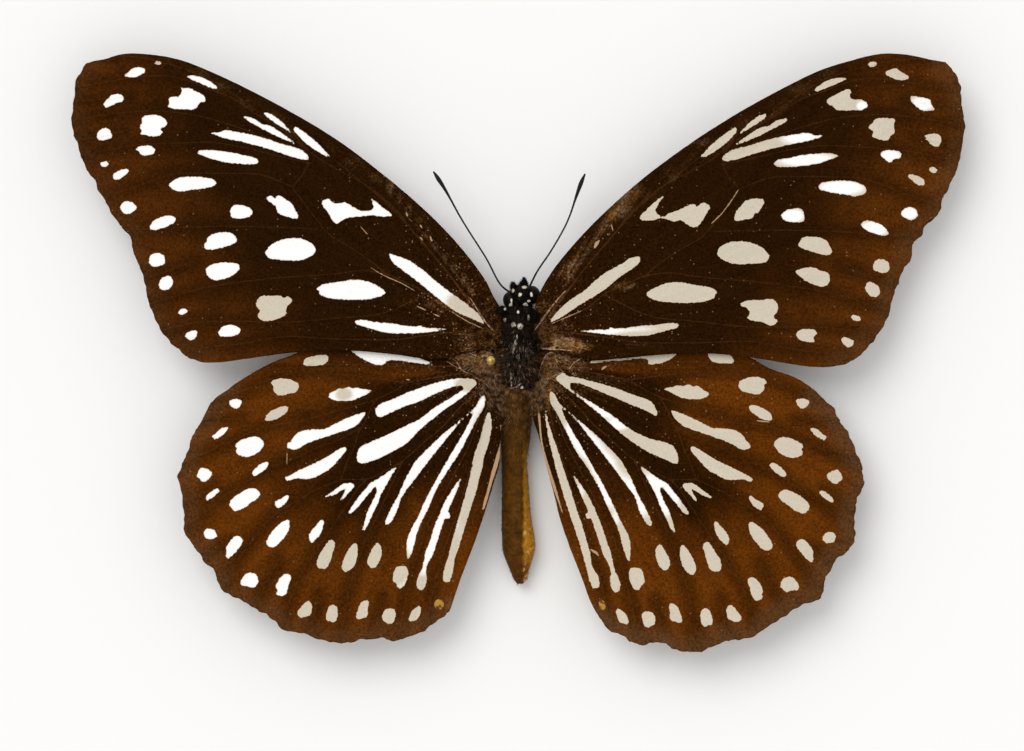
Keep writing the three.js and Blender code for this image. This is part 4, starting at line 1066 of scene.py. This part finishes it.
def tufted_paint(name, base, light, tufts, gloss, roughness):
    """Dark hair and skin brushed backwards, browner to the rear, pale inside each tuft; a tuft can also
    stand for a painted highlight on the hair.
    """
    paint = Paint(name)
    where = paint.place()
    brushed = paint.node("VectorMath", {"operation": "MULTIPLY"}, {0: where, 1: (1.8, 0.6, 1.0)})
    strands = paint.noise(brushed, 1.8, 4.0)
    shown = None
    for (x, y), (_, _, wide, tall) in zip(from_photo([t[:2] for t in tufts]), tufts):
        shift = paint.node("VectorMath", {"operation": "SUBTRACT"}, {0: where, 1: (x, y, 0)})
        squeeze = (1 / (wide * PIXEL), 1 / (tall * PIXEL), 0)
        squeezed = paint.node("VectorMath", {"operation": "MULTIPLY"}, {0: shift, 1: squeeze})
        reach = paint.node("VectorMath", {"operation": "LENGTH"}, {0: squeezed}, "Value")
        shown = reach if shown is None else shown.smaller(reach)
    on_top = paint.node("SeparateXYZ", {}, {0: where}, "Z").rise(3.2, 3.6)
    ragged = (paint.noise(where, 4.0, 3.0) - 0.5) * 1.2
    inside = (1.0 - (shown + ragged).rise(0.75, 1.15)) * on_top
    rear = 1.0 - paint.node("SeparateXYZ", {}, {0: where}, "Y").rise(-2.5, 1.5)
    lit = paint.mix(rear, tone(light), tone(REAR_HAIR))
    colour = paint.mix(strands.rise(0.48, 0.66), tone(base), lit)
    # The tufts: white hair, and on the thorax's back partly a painted highlight where the hair glints.
    colour = paint.mix(inside, colour, tone(TUFT_AND_GLINT_WHITE))
    return paint.finish(
        Base_Color=colour, Roughness=roughness, Specular_IOR_Level=gloss,
        Normal=paint.bump(strands, 0.08, 0.5))


def tube(name, route, sides, step, material):
    """A round tube through points that each carry a radius."""
    line = curve_through(route, step)
    ahead = np.gradient(line[:, :3], axis=0)
    ahead /= np.linalg.norm(ahead, axis=1)[:, None]
    across = np.cross(ahead[0], (0, 0, 1) if abs(ahead[0][2]) < 0.9 else (1, 0, 0))
    turn = 2 * np.pi * np.arange(sides) / sides
    points = []
    for (x, y, z, radius), way in zip(line, ahead):
        across = across - way * (across @ way)
        across /= np.linalg.norm(across)
        over = np.cross(way, across)
        points.append((x, y, z) + radius * (np.outer(np.cos(turn), across) + np.outer(np.sin(turn), over)))
    faces = [(a, d, c, b) for a, b, c, d in bands(len(line), sides)]
    faces.append(tuple(reversed(range(sides))))
    faces.append(tuple(range((len(line) - 1) * sides, len(line) * sides)))
    return new_object(name, np.vstack(points), faces, material)


HAIR_INPUTS = [
    ("Surface", "Geometry"), ("Density", "Float"), ("Length", "Float"), ("Thickness", "Float"),
    ("Lean", "Vector"), ("Wild", "Float"), ("Seed", "Int"), ("Material", "Material"),
]
SHORTEST_HAIR = 0.55
LONGEST_HAIR = 1.25


def hair_group():
    """Short tapering hairs over a surface, leaning one way."""
    group = bpy.data.node_groups.new("hair coat", "GeometryNodeTree")
    for label, kind in HAIR_INPUTS:
        group.interface.new_socket(label, in_out="INPUT", socket_type="NodeSocket" + kind)
    group.interface.new_socket("Hair", in_out="OUTPUT", socket_type="NodeSocketGeometry")
    given = group.nodes.new("NodeGroupInput").outputs

    def add(kind, settings, values):
        """A node with its settings, and a socket or a constant for each input that is named."""
        made = group.nodes.new(kind)
        for key, value in settings.items():
            setattr(made, key, value)
        for key, value in values.items():
            if isinstance(value, bpy.types.NodeSocket):
                group.links.new(value, made.inputs[key])
            else:
                made.inputs[key].default_value = value
        return made

    scatter = add("GeometryNodeDistributePointsOnFaces", {}, {
        "Mesh": given["Surface"], "Density": given["Density"], "Seed": given["Seed"]})
    hair = add("GeometryNodeMeshCone", {"fill_type": "NONE"}, {
        "Vertices": 3, "Side Segments": 1, "Radius Bottom": given["Thickness"], "Depth": given["Length"]})
    jitter = add("FunctionNodeRandomValue", {"data_type": "FLOAT_VECTOR"}, {
        0: (-1, -1, -1), "Seed": given["Seed"]})
    scaled = add("ShaderNodeVectorMath", {"operation": "SCALE"}, {
        0: jitter.outputs[0], "Scale": given["Wild"]})
    leaning = add("ShaderNodeVectorMath", {}, {0: scatter.outputs["Normal"], 1: given["Lean"]})
    aimed = add("ShaderNodeVectorMath", {}, {0: leaning.outputs[0], 1: scaled.outputs[0]})
    turn = add("FunctionNodeAlignRotationToVector", {"axis": "Z"}, {"Vector": aimed.outputs[0]})
    size = add("FunctionNodeRandomValue", {}, {
        2: SHORTEST_HAIR, 3: LONGEST_HAIR, "Seed": given["Seed"]})
    placed = add("GeometryNodeInstanceOnPoints", {}, {
        "Points": scatter.outputs["Points"], "Instance": hair.outputs["Mesh"],
        "Rotation": turn.outputs["Rotation"], "Scale": size.outputs[1]})
    real = add("GeometryNodeRealizeInstances", {}, {0: placed.outputs[0]})
    painted = add("GeometryNodeSetMaterial", {}, {
        "Geometry": real.outputs[0], "Material": given["Material"]})
    add("NodeGroupOutput", {}, {"Hair": painted.outputs[0]})
    return group


HAIR = hair_group()


def hair_on(host, name, count, length, thickness, lean, wild, seed, material):
    """A coat of about that many hairs on a finished piece, pressed flat where it meets the floor."""
    area = sum(face.area for face in host.data.polygons)
    carrier = bpy.data.objects.new(name + "_base", host.data.copy())
    bpy.context.collection.objects.link(carrier)
    coat = carrier.modifiers.new("coat", "NODES")
    coat.node_group = HAIR
    values = {
        "Density": count / area, "Length": length * MM, "Thickness": thickness * MM, "Lean": lean,
        "Wild": wild, "Seed": seed, "Material": material,
    }
    for item in HAIR.interface.items_tree:
        if item.in_out == "INPUT" and item.name in values:
            coat[item.identifier] = values[item.name]
    evaluated = carrier.evaluated_get(bpy.context.evaluated_depsgraph_get())
    grown = bpy.data.meshes.new_from_object(evaluated)
    bpy.data.objects.remove(carrier)
    tips = np.empty(len(grown.vertices) * 3)
    grown.vertices.foreach_get("co", tips)
    tips[2::3] = np.maximum(tips[2::3], 0.0)
    grown.vertices.foreach_set("co", tips)
    made = bpy.data.objects.new(name, grown)
    bpy.context.collection.objects.link(made)
    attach(made, "root")


body_paint = tufted_paint("thorax hair", "#0c0704", "#2c1d13", THORAX_TUFTS_AND_GLINTS, gloss=0.05, roughness=0.6)
thorax = loft("thorax_skin", THORAX, sides=40, step=0.2, material=body_paint)
keep(thorax, "body_scales", "thorax")
hair_on(thorax, "thorax_hair", count=6000, length=0.55, thickness=0.022,
        lean=(0, -1.2, 0), wild=0.5, seed=11, material=body_paint)


# Root lobes. Two small black lobes cover the roots of the forewings, furry like the thorax
# they grow on. Each is a low ball under a short coat of hair.

# Centre in pixels, then half width and half length in pixels
LOBES = {"left": (501.5, 310.5, 4.2, 4.6), "right": (535.5, 316, 2.6, 6.0)}
LOBE_Z = 5.1
LOBE_RISE = 0.4

for seed, (label, (px, py, wide, tall)) in enumerate(LOBES.items()):
    (x, y), = from_photo([(px, py)])
    sizes = (wide * PIXEL, tall * PIXEL, LOBE_RISE)
    lobe = ball("lobe_" + label, (x, y, LOBE_Z), sizes, body_paint, across=24, rows=12)
    keep(lobe, "body_scales")
    hair_on(lobe, f"lobe_{label}_hair", count=260, length=0.35, thickness=0.02,
            lean=(0, -0.5, 0), wild=0.6, seed=30 + seed, material=body_paint)

# Long hair. Brown, pale and black hair grows out over the wing roots, the inner edges of
# the hindwings and the back of the thorax. Each row is one patch that thins outwards.


def fur_paint(name, dark, light):
    """Hair in locks of two colours."""
    paint = Paint(name)
    lock = paint.noise(paint.place(), 1.8, 3.0).rise(0.38, 0.66)
    return paint.finish(
        Base_Color=paint.mix(lock, tone(dark), tone(light)), Roughness=0.6, Specular_IOR_Level=0.1)


def patch_of(host, middle, reach, seed):
    """Upper faces of a piece near a place, thinning outwards and clear of the pale marks."""
    mesh = host.data
    centres = np.empty(len(mesh.polygons) * 3)
    normals = np.empty(len(mesh.polygons) * 3)
    mesh.polygons.foreach_get("center", centres)
    mesh.polygons.foreach_get("normal", normals)
    away = np.hypot(*(centres.reshape(-1, 3)[:, :2] / MM - middle).T) / reach
    luck = np.random.default_rng(seed).random(len(away))
    chosen = np.flatnonzero((normals.reshape(-1, 3)[:, 2] > 0.1) & (away < 1) & (luck > away ** 2))
    faces = [list(mesh.polygons[k].vertices) for k in chosen]
    if "mark" in mesh.attributes:
        depth = mesh.attributes["mark"].data
        faces = [face for face in faces if max(depth[k].value for k in face) < -0.3]
    points = np.empty(len(mesh.vertices) * 3)
    mesh.vertices.foreach_get("co", points)
    return new_object("patch", points.reshape(-1, 3) / MM, faces, mesh.materials[0])


brown_fur = fur_paint("brown hair", "#2a1706", "#865a2d")
pale_fur = fur_paint("pale hair", "#4a3a2b", "#b8a48c")
black_fur = fur_paint("black hair", "#0b0705", "#33241a")

# Piece, middle, reach, count, length, thickness, lean and kind
LONG_HAIR = [
    (forewing_right_skin, (1.9, 1.6), 4.0, 1100, 0.35, 0.019, (1.6, 0.2, 0), brown_fur),
    (forewing_left_skin, (-1.9, 1.6), 4.0, 1100, 0.35, 0.019, (-1.6, 0.2, 0), brown_fur),
    (hindwing_right_skin, (2.0, -2.6), 3.6, 1100, 0.4, 0.022, (1.2, -1.4, 0), brown_fur),
    (hindwing_left_skin, (-2.0, -2.6), 3.6, 1100, 0.4, 0.022, (-1.2, -1.4, 0), brown_fur),
    (thorax, (-1.8, 1.6), 3.0, 900, 0.6, 0.022, (-1.0, -0.9, 0), black_fur),
    (thorax, (1.9, 1.6), 3.0, 900, 0.6, 0.022, (1.0, -0.9, 0), black_fur),
    (thorax, (-1.8, -1.8), 2.6, 800, 0.7, 0.022, (-1.0, -1.4, 0.1), black_fur),
    (thorax, (2.0, -1.8), 2.6, 800, 0.7, 0.022, (1.0, -1.4, 0.1), black_fur),
    (thorax, (-2.0, -1.4), 2.2, 160, 0.9, 0.026, (-1.6, -1.0, 0.2), brown_fur),
    (thorax, (2.1, -1.4), 2.2, 160, 0.9, 0.026, (1.6, -1.0, 0.2), brown_fur),
    (thorax, (0.2, -1.4), 2.8, 300, 0.55, 0.032, (0, -1.8, 0), pale_fur),
    (thorax, (-0.2, 0.4), 1.8, 60, 0.5, 0.03, (-0.3, -1.8, 0), pale_fur),
    (forewing_left_skin, (-4.6, 2.6), 4.4, 110, 0.4, 0.022, (-1.6, 0.8, 0), brown_fur),
    (hindwing_left_skin, (-1.9, -4.6), 2.4, 420, 0.75, 0.024, (1.1, -1.4, 0.1), brown_fur),
    (hindwing_left_skin, (-1.9, -4.4), 2.4, 160, 0.8, 0.024, (0.9, -1.4, 0.1), pale_fur),
    (hindwing_right_skin, (1.5, -4.4), 2.2, 420, 0.75, 0.024, (-1.1, -1.4, 0.1), brown_fur),
    (hindwing_right_skin, (1.5, -4.2), 2.2, 90, 0.8, 0.024, (-0.9, -1.4, 0.1), pale_fur),
    (hindwing_left_skin, (-3.2, -2.2), 3.0, 120, 0.6, 0.03, (-1.2, -1.0, 0), pale_fur),
    (hindwing_right_skin, (3.2, -2.2), 3.0, 120, 0.6, 0.03, (1.2, -1.0, 0), pale_fur),
]
for seed, (host, middle, reach, count, length, thickness, lean, kind) in enumerate(LONG_HAIR):
    patch = patch_of(host, middle, reach, seed)
    hair_on(patch, f"long_hair_{seed}", count, length, thickness, lean,
            wild=0.7, seed=40 + seed, material=kind)
    bpy.data.objects.remove(patch)

# Horny ridges. Bare pale skin thickens to ridges at the roots of the front veins, round the
# right hindwing's lobe and along the rim behind the thorax. Thin tubes laid on the surface.

# Points in pixels with a radius in millimetres
ROOT_RIDGES = {
    "vein_root_right": (FOREWING_Z, [
        (534, 331, 0.04), (540, 323.5, 0.06), (549, 311, 0.05), (558, 299, 0.04), (566, 291, 0.02)]),
    "vein_root_left": (FOREWING_Z, [
        (493.5, 331, 0.04), (490.5, 327.5, 0.08), (486.8, 323.5, 0.08), (479.5, 313, 0.05),
        (470, 297.5, 0.03)]),
    "lobe_rim_right": (HINDWING_Z, [
        (539, 373, 0.02), (541, 366, 0.03), (543.5, 360, 0.04), (546.5, 355, 0.06), (551, 352.3, 0.06),
        (556, 353.5, 0.03)]),
}
THORAX_RIM = [
    (499.5, 377.4), (502, 381), (504.7, 383.9), (508, 387), (511, 388), (516.3, 386.8), (521.5, 383.2),
]
HORN_LIFT = 0.1
RIM_LIFT = 0.35
RIM_RADIUS = 0.05


def thorax_top(x, y):
    """Height of the thorax's back at a place."""
    along = [-section[0] for section in THORAX]
    middle, half, low, high = (np.interp(-y, along, [section[k] for section in THORAX]) for k in range(1, 5))
    rise = max(0.0, 1 - ((x - middle) / half) ** 2) ** 0.5
    return (low + high) / 2 + (high - low) / 2 * rise


horn = Paint("pale horn")
horn_grain = horn.noise(horn.place(), 3.0, 3.0)
horn.finish(
    Base_Color=horn.mix(horn_grain.rise(0.4, 0.62), tone("#5a3c24"), tone("#bd9a7c")), Roughness=0.45)
for label, (root_z, route) in ROOT_RIDGES.items():
    flat_places = from_photo([p[:2] for p in route])
    places = [(x, y, wing_height(x, root_z) + HORN_LIFT, p[2]) for (x, y), p in zip(flat_places, route)]
    keep(tube(label, places, sides=10, step=0.12, material=horn.material), "body_scales")
rim_places = [(x, y, thorax_top(x, y) + RIM_LIFT, RIM_RADIUS) for x, y in from_photo(THORAX_RIM)]
keep(tube("thorax_rim", rim_places, sides=10, step=0.12, material=horn.material), "body_scales")

# Waist. The last ring of the thorax and the first of the abdomen meet under long brown and
# pale hair. One soft form closes the joint, and its hair covers the inner wing roots.

WAIST_CENTRE = (-0.05, -3.9, 2.9)
WAIST_SIZES = (1.95, 1.2, 1.3)

waist_fur = fur_paint("waist hair", "#5a3812", "#a67a45")
waist = ball("waist", WAIST_CENTRE, WAIST_SIZES, waist_fur, across=36, rows=18)
keep(waist, "body_scales")
hair_on(waist, "waist_hair", count=900, length=0.6, thickness=0.026,
        lean=(0, -1.6, 0), wild=0.6, seed=60, material=waist_fur)

# Head. A rounded hard case with two large smooth eyes that are nearly black, with white
# dots of hair between them. It sits against the thorax, turned a little to one side.

HEAD_CENTRE = (0.33, 5.35, 3.35)
HEAD_SIZES = (1.25, 1.3, 1.3)
HEAD_TURN = 0.26
EYE_SPREAD = 1.12
EYE_SIZES = (0.8, 0.93, 1.1)
HEAD_TUFTS = [
    (513, 290.5, 1.4, 2.2), (524.5, 287, 2.6, 1.7), (520, 294.7, 1.7, 2.0), (531.3, 294.5, 1.2, 2.3),
    (511.5, 300.5, 1.0, 2.2), (510.7, 306, 1.9, 2.8), (525.5, 305, 2.5, 2.7), (529, 301, 1.9, 1.1),
]

head_paint = tufted_paint("head hair", "#0b0706", "#271a12", HEAD_TUFTS, gloss=0.05, roughness=0.6)
skull = ball("head_skin", HEAD_CENTRE, HEAD_SIZES, head_paint, HEAD_TURN)
keep(skull, "body_scales", "head")
hair_on(skull, "head_hair", count=1500, length=0.32, thickness=0.02,
        lean=(0, -0.3, 0.2), wild=0.5, seed=12, material=head_paint)

eye_paint = tufted_paint("eye surface", "#0d0706", "#1d1110", HEAD_TUFTS, gloss=0.07, roughness=0.4)
for side, label in ((-1, "left"), (1, "right")):
    eye_place = (
        HEAD_CENTRE[0] + side * EYE_SPREAD * math.cos(HEAD_TURN),
        HEAD_CENTRE[1] + side * EYE_SPREAD * math.sin(HEAD_TURN), HEAD_CENTRE[2])
    keep(ball("eye_" + label, eye_place, EYE_SIZES, eye_paint, HEAD_TURN), "body_scales")

# Palps. Two short jointed mouth feelers that stand up in front of the face, rough with
# black scales. They are tapering tubes with a coat of short hair.

# Places with a radius
PALPS = {
    "palp_right": [
        (0.55, 5.7, 2.6, 0.3), (0.6, 6.4, 3.2, 0.4), (0.57, 6.95, 3.65, 0.32), (0.52, 7.4, 3.95, 0.06)],
    "palp_left": [
        (-0.15, 5.6, 2.6, 0.3), (-0.35, 6.1, 3.2, 0.38), (-0.5, 6.5, 3.6, 0.34), (-0.55, 6.85, 3.9, 0.16)],
}

for seed, (label, route) in enumerate(PALPS.items()):
    palp = tube(label + "_skin", route, sides=16, step=0.08, material=head_paint)
    keep(palp, "body_scales", label)
    hair_on(palp, label + "_hair", count=260, length=0.22, thickness=0.018,
            lean=(0, 0.6, 0.3), wild=0.3, seed=20 + seed, material=head_paint)

# Antennae. Thin dark rods of many short joints that thicken to a slim club at the tip,
# held up and forward from between the eyes.

ANTENNAE = {
    "antenna_right": [
        (1.0, 6.2, 4.25), (1.84, 7.9, 4.6), (3.19, 9.91, 4.95), (4.63, 12.4, 5.3), (5.21, 13.75, 5.45),
        (5.59, 14.91, 5.55), (5.92, 15.87, 5.6), (6.27, 16.83, 5.62), (6.65, 17.7, 5.6)],
    "antenna_left": [
        (-0.7, 5.75, 4.2), (-1.77, 6.62, 4.55), (-3.2, 9.22, 4.9), (-4.95, 11.97, 5.2), (-5.9, 13.53, 5.4),
        (-6.88, 15.33, 5.5), (-7.5, 16.4, 5.55), (-8.05, 17.25, 5.55), (-8.5, 17.93, 5.5)],
}
ANTENNA_RADII = [0.11, 0.09, 0.085, 0.085, 0.09, 0.11, 0.17, 0.21, 0.08]

limb_paint = Paint("dark limb")
limb_grain = limb_paint.noise(limb_paint.place(), 5.0, 3.0)
limb_paint.finish(
    Base_Color=limb_paint.mix(limb_grain, tone("#0c0806"), tone("#241811")),
    Roughness=0.6, Specular_IOR_Level=0.15, Normal=limb_paint.bump(limb_grain, 0.03, 0.5))

for label, route in ANTENNAE.items():
    places = [(*place, radius) for place, radius in zip(route, ANTENNA_RADII)]
    rod = tube(label + "_skin", places, sides=12, step=0.12, material=limb_paint.material)
    keep(rod, "limb_chitin", label)

# Proboscis. The sucking tube, coiled like a watch spring below the face, between the
# palps.

COIL_CENTRE = (0.2, 6.35, 1.75)
COIL_TURNS = 1.75
COIL_START = 2.2
COIL_REACH = 0.78
COIL_CLOSING = 0.5
COIL_RADIUS = 0.12
COIL_TAPER = 0.05
COIL_STEPS = 24

coil = []
for k in range(COIL_STEPS + 1):
    share = k / COIL_STEPS
    turn_now = COIL_START + 2 * math.pi * COIL_TURNS * share
    reach_now = COIL_REACH - COIL_CLOSING * share
    coil.append((
        COIL_CENTRE[0], COIL_CENTRE[1] + reach_now * math.cos(turn_now),
        COIL_CENTRE[2] + reach_now * math.sin(turn_now), COIL_RADIUS - COIL_TAPER * share))
proboscis = tube("proboscis_skin", coil, sides=10, step=0.08, material=limb_paint.material)
keep(proboscis, "limb_chitin", "proboscis")

# Legs. Thin jointed dark legs folded back against the underside, as they dry; the first
# pair is only two small brushes.

LEG_MIDDLE_X = 0.12
LEG_RADII = [0.24, 0.3, 0.2, 0.17, 0.12, 0.09]
LEGS = {
    "foreleg": [(0.8, 3.3, 0.9), (1.05, 3.9, 0.75), (1.0, 4.6, 0.9), (0.8, 4.2, 0.45)],
    "midleg": [(1.2, 1.8, 0.75), (2.1, 2.4, 0.85), (2.9, 2.6, 0.75), (2.7, 0.2, 0.45), (2.5, -2.2, 0.25),
               (2.5, -4.6, 0.12)],
    "hindleg": [(1.1, -1.6, 0.75), (1.95, -1.4, 0.85), (3.6, -2.6, 0.8), (3.1, -5.4, 0.45),
                (2.8, -8.0, 0.25), (2.95, -10.2, 0.12)],
}
for label, route in LEGS.items():
    for side, sign in (("left", -1), ("right", 1)):
        places = [(LEG_MIDDLE_X + sign * x, y, z, r) for (x, y, z), r in zip(route, LEG_RADII)]
        leg = tube(f"{label}_{side}_skin", places, sides=12, step=0.15, material=limb_paint.material)
        keep(leg, "limb_chitin", f"{label}_{side}")

# Abdomen. A long soft body dried to a thin brown shell of rings, darker along the back
# and amber on its right side, a little swollen before the blunt tip.

ABDOMEN = [
    (-3.7, -0.05, 1.3, 1.3, 4.2), (-4.9, -0.2, 1.7, 0.6, 4.15), (-6.9, -0.33, 1.6, 0.3, 3.9),
    (-8.9, -0.32, 1.48, 0.15, 3.6), (-10.9, -0.4, 1.26, 0.02, 3.35), (-12.9, -0.34, 1.31, 0.0, 3.2),
    (-14.9, -0.28, 1.38, 0.0, 3.15), (-16.9, -0.2, 1.5, 0.0, 3.1), (-18.9, -0.01, 1.64, 0.0, 3.1),
    (-19.9, 0.02, 1.63, 0.0, 2.95), (-20.9, 0.05, 1.38, 0.15, 2.75), (-21.9, 0.1, 1.0, 0.35, 2.4),
    (-22.9, 0.18, 0.68, 0.6, 2.05), (-23.4, 0.15, 0.3, 0.9, 1.7),
]
ABDOMEN_RINGS = 9
ABDOMEN_LENGTH = 19.7

abdomen_paint = Paint("abdomen shell")
where = abdomen_paint.place()
grain = abdomen_paint.noise(where, 3.0, 4.0)
blotch = abdomen_paint.noise(where, 1.4, 4.0)
across_body = abdomen_paint.node("SeparateXYZ", {}, {0: where}, "X")
along_body = abdomen_paint.node("SeparateXYZ", {}, {0: where}, "Y")
shell = abdomen_paint.mix(blotch.rise(0.3, 0.7), tone("#402605"), tone("#57350a"))
amber = (across_body + (blotch - 0.5) * 0.5).rise(0.3, 0.75) * (1.0 - along_body.rise(-12.0, -8.0))
shell = abdomen_paint.mix(amber, shell, tone("#a8711a"))
shell = abdomen_paint.mix((1.0 - along_body.rise(-22.0, -20.0)) * 0.7, shell, tone("#4f2a06"))
shell = abdomen_paint.mix(along_body.rise(-13.0, -5.0) * 0.5, shell, tone("#3c260d"))
groove = (along_body * (ABDOMEN_RINGS / ABDOMEN_LENGTH) + 0.35).math("FRACT")
dent = groove.rise(0.0, 0.12) * (1.0 - groove.rise(0.92, 1.0))
shell = abdomen_paint.shaded(shell, 0.92 + (grain - 0.5) * 1.4 + dent * 0.14)
# Painted highlight: small bright glints on the rear of the amber side, mixed into the shell colour.
bright = (abdomen_paint.noise(where, 2.2, 4.0) - 0.5).rise(0.05, 0.12)
painted_glint = bright * amber * (1.0 - along_body.rise(-18.5, -15.0))
shell = abdomen_paint.mix(painted_glint * 0.6, shell, tone("#e0b070"))
abdomen_paint.finish(
    Base_Color=shell, Roughness=0.45, Specular_IOR_Level=0.04,
    Normal=abdomen_paint.bump(dent * 0.3 + grain * 0.7, 0.1, 0.7))
abdomen = loft("abdomen_skin", ABDOMEN, sides=40, step=0.2, material=abdomen_paint.material)
keep(abdomen, "abdomen_scales", "abdomen")

short_fur = fur_paint("abdomen hair", "#2c1904", "#6e4812")
hair_on(abdomen, "abdomen_hair", count=2600, length=0.26, thickness=0.014,
        lean=(0, -2.2, 0), wild=0.3, seed=13, material=short_fur)

# Longer hair at the front: middle, reach and count
front_fur = fur_paint("front hair", "#452b0e", "#8a6537")
FRONT_HAIR = [(-1.6, -6.0, 2.4, 320), (1.5, -6.0, 2.2, 200), (0.0, -5.6, 2.4, 140), (-0.4, -9.0, 3.4, 140)]
for seed, (x, y, reach, count) in enumerate(FRONT_HAIR):
    patch = patch_of(abdomen, (x, y), reach, seed)
    hair_on(patch, f"front_hair_{seed}", count, length=0.55, thickness=0.026,
            lean=(x * 0.4, -1.6, 0.2), wild=0.6, seed=70 + seed, material=front_fur)
    bpy.data.objects.remove(patch)

# Pin. A thin steel pin with black enamel, pushed down through the thorax and leaning to
# the left, with a small gold-coloured ball for a head.

PIN_ENTRY = Vector((-0.55, -0.8, 5.6))
PIN_HEAD = Vector((-2.72, -1.0, 18.3))
PIN_RADIUS = 0.19
PIN_BALL = 0.44
PIN_FOOT_Z = 0.08

pin_way = (PIN_HEAD - PIN_ENTRY).normalized()
pin_foot = PIN_ENTRY + pin_way * (PIN_FOOT_Z - PIN_ENTRY.z) / pin_way.z
enamel = Paint("pin enamel")
enamel.finish(Base_Color=tone("#12100d"), Roughness=0.28, Metallic=0.0)
shaft_places = [(*place, PIN_RADIUS) for place in (pin_foot, PIN_ENTRY, PIN_HEAD)]
shaft = tube("pin_shaft_skin", shaft_places, sides=24, step=1.0, material=enamel.material)
keep(shaft, "pin_enamel", "pin_shaft")
gold = Paint("gold ball")
gold_pits = gold.noise(gold.place(), 3.0, 3.0).rise(0.36, 0.6)
gold.finish(
    Base_Color=gold.mix(gold_pits, tone("#7d6a26"), tone("#bda455")), Roughness=0.32, Metallic=0.5,
    Normal=gold.bump(gold_pits, 0.03, 0.5))
knob = ball("pin_head_skin", PIN_HEAD, (PIN_BALL, PIN_BALL, PIN_BALL), gold.material)
keep(knob, "pin_ball", "pin_head")

# Floor, light and camera. A pale matt floor, one wide soft light from the upper left with
# an even pale surround, and a long lens looking straight down.

FLOOR_SIZE = 1.2
SURROUND_STRENGTH = 0.78
LIGHT_STRENGTH = 1.15
LIGHT_WIDTH = 0.7
LIGHT_TILT = (-28, -24)
LENS = 200.0
SENSOR = 36.0
PICTURE_PIXELS = (1024, 751)
PICTURE_WIDTH = PICTURE_PIXELS[0] * PIXEL
PICTURE_MIDDLE = (
    (PICTURE_PIXELS[0] / 2 - MIDDLE[0]) * PIXEL, (MIDDLE[1] - PICTURE_PIXELS[1] / 2) * PIXEL)
FOCUS_Z = 5.0

corner = FLOOR_SIZE / MM / 2
floor_paint = Paint("floor")
floor_paint.finish(Base_Color=tone("#f6f5f3"), Roughness=0.9, Specular_IOR_Level=0.0)
floor = new_object(
    "floor", [(-corner, -corner, 0), (corner, -corner, 0), (corner, corner, 0), (-corner, corner, 0)],
    [(0, 1, 2, 3)], floor_paint.material, smooth=False)

world = bpy.data.worlds.new("surround")
world.use_nodes = True
background = world.node_tree.nodes["Background"].inputs
background["Color"].default_value = (1.0, 1.0, 1.0, 1.0)
background["Strength"].default_value = SURROUND_STRENGTH
bpy.context.scene.world = world
sun = bpy.data.lights.new("soft light", "SUN")
sun.energy = LIGHT_STRENGTH
sun.angle = LIGHT_WIDTH
lamp = bpy.data.objects.new("soft light", sun)
lamp.rotation_euler = (math.radians(LIGHT_TILT[0]), math.radians(LIGHT_TILT[1]), 0)
bpy.context.collection.objects.link(lamp)
bpy.context.scene.view_settings.view_transform = "Standard"

camera_data = bpy.data.cameras.new("camera")
camera_data.lens = LENS
camera_data.sensor_width = SENSOR
camera_data.clip_start = 0.01
camera = bpy.data.objects.new("camera", camera_data)
camera.location = Vector((*PICTURE_MIDDLE, FOCUS_Z + PICTURE_WIDTH * LENS / SENSOR)) * MM
bpy.context.collection.objects.link(camera)
bpy.context.scene.camera = camera
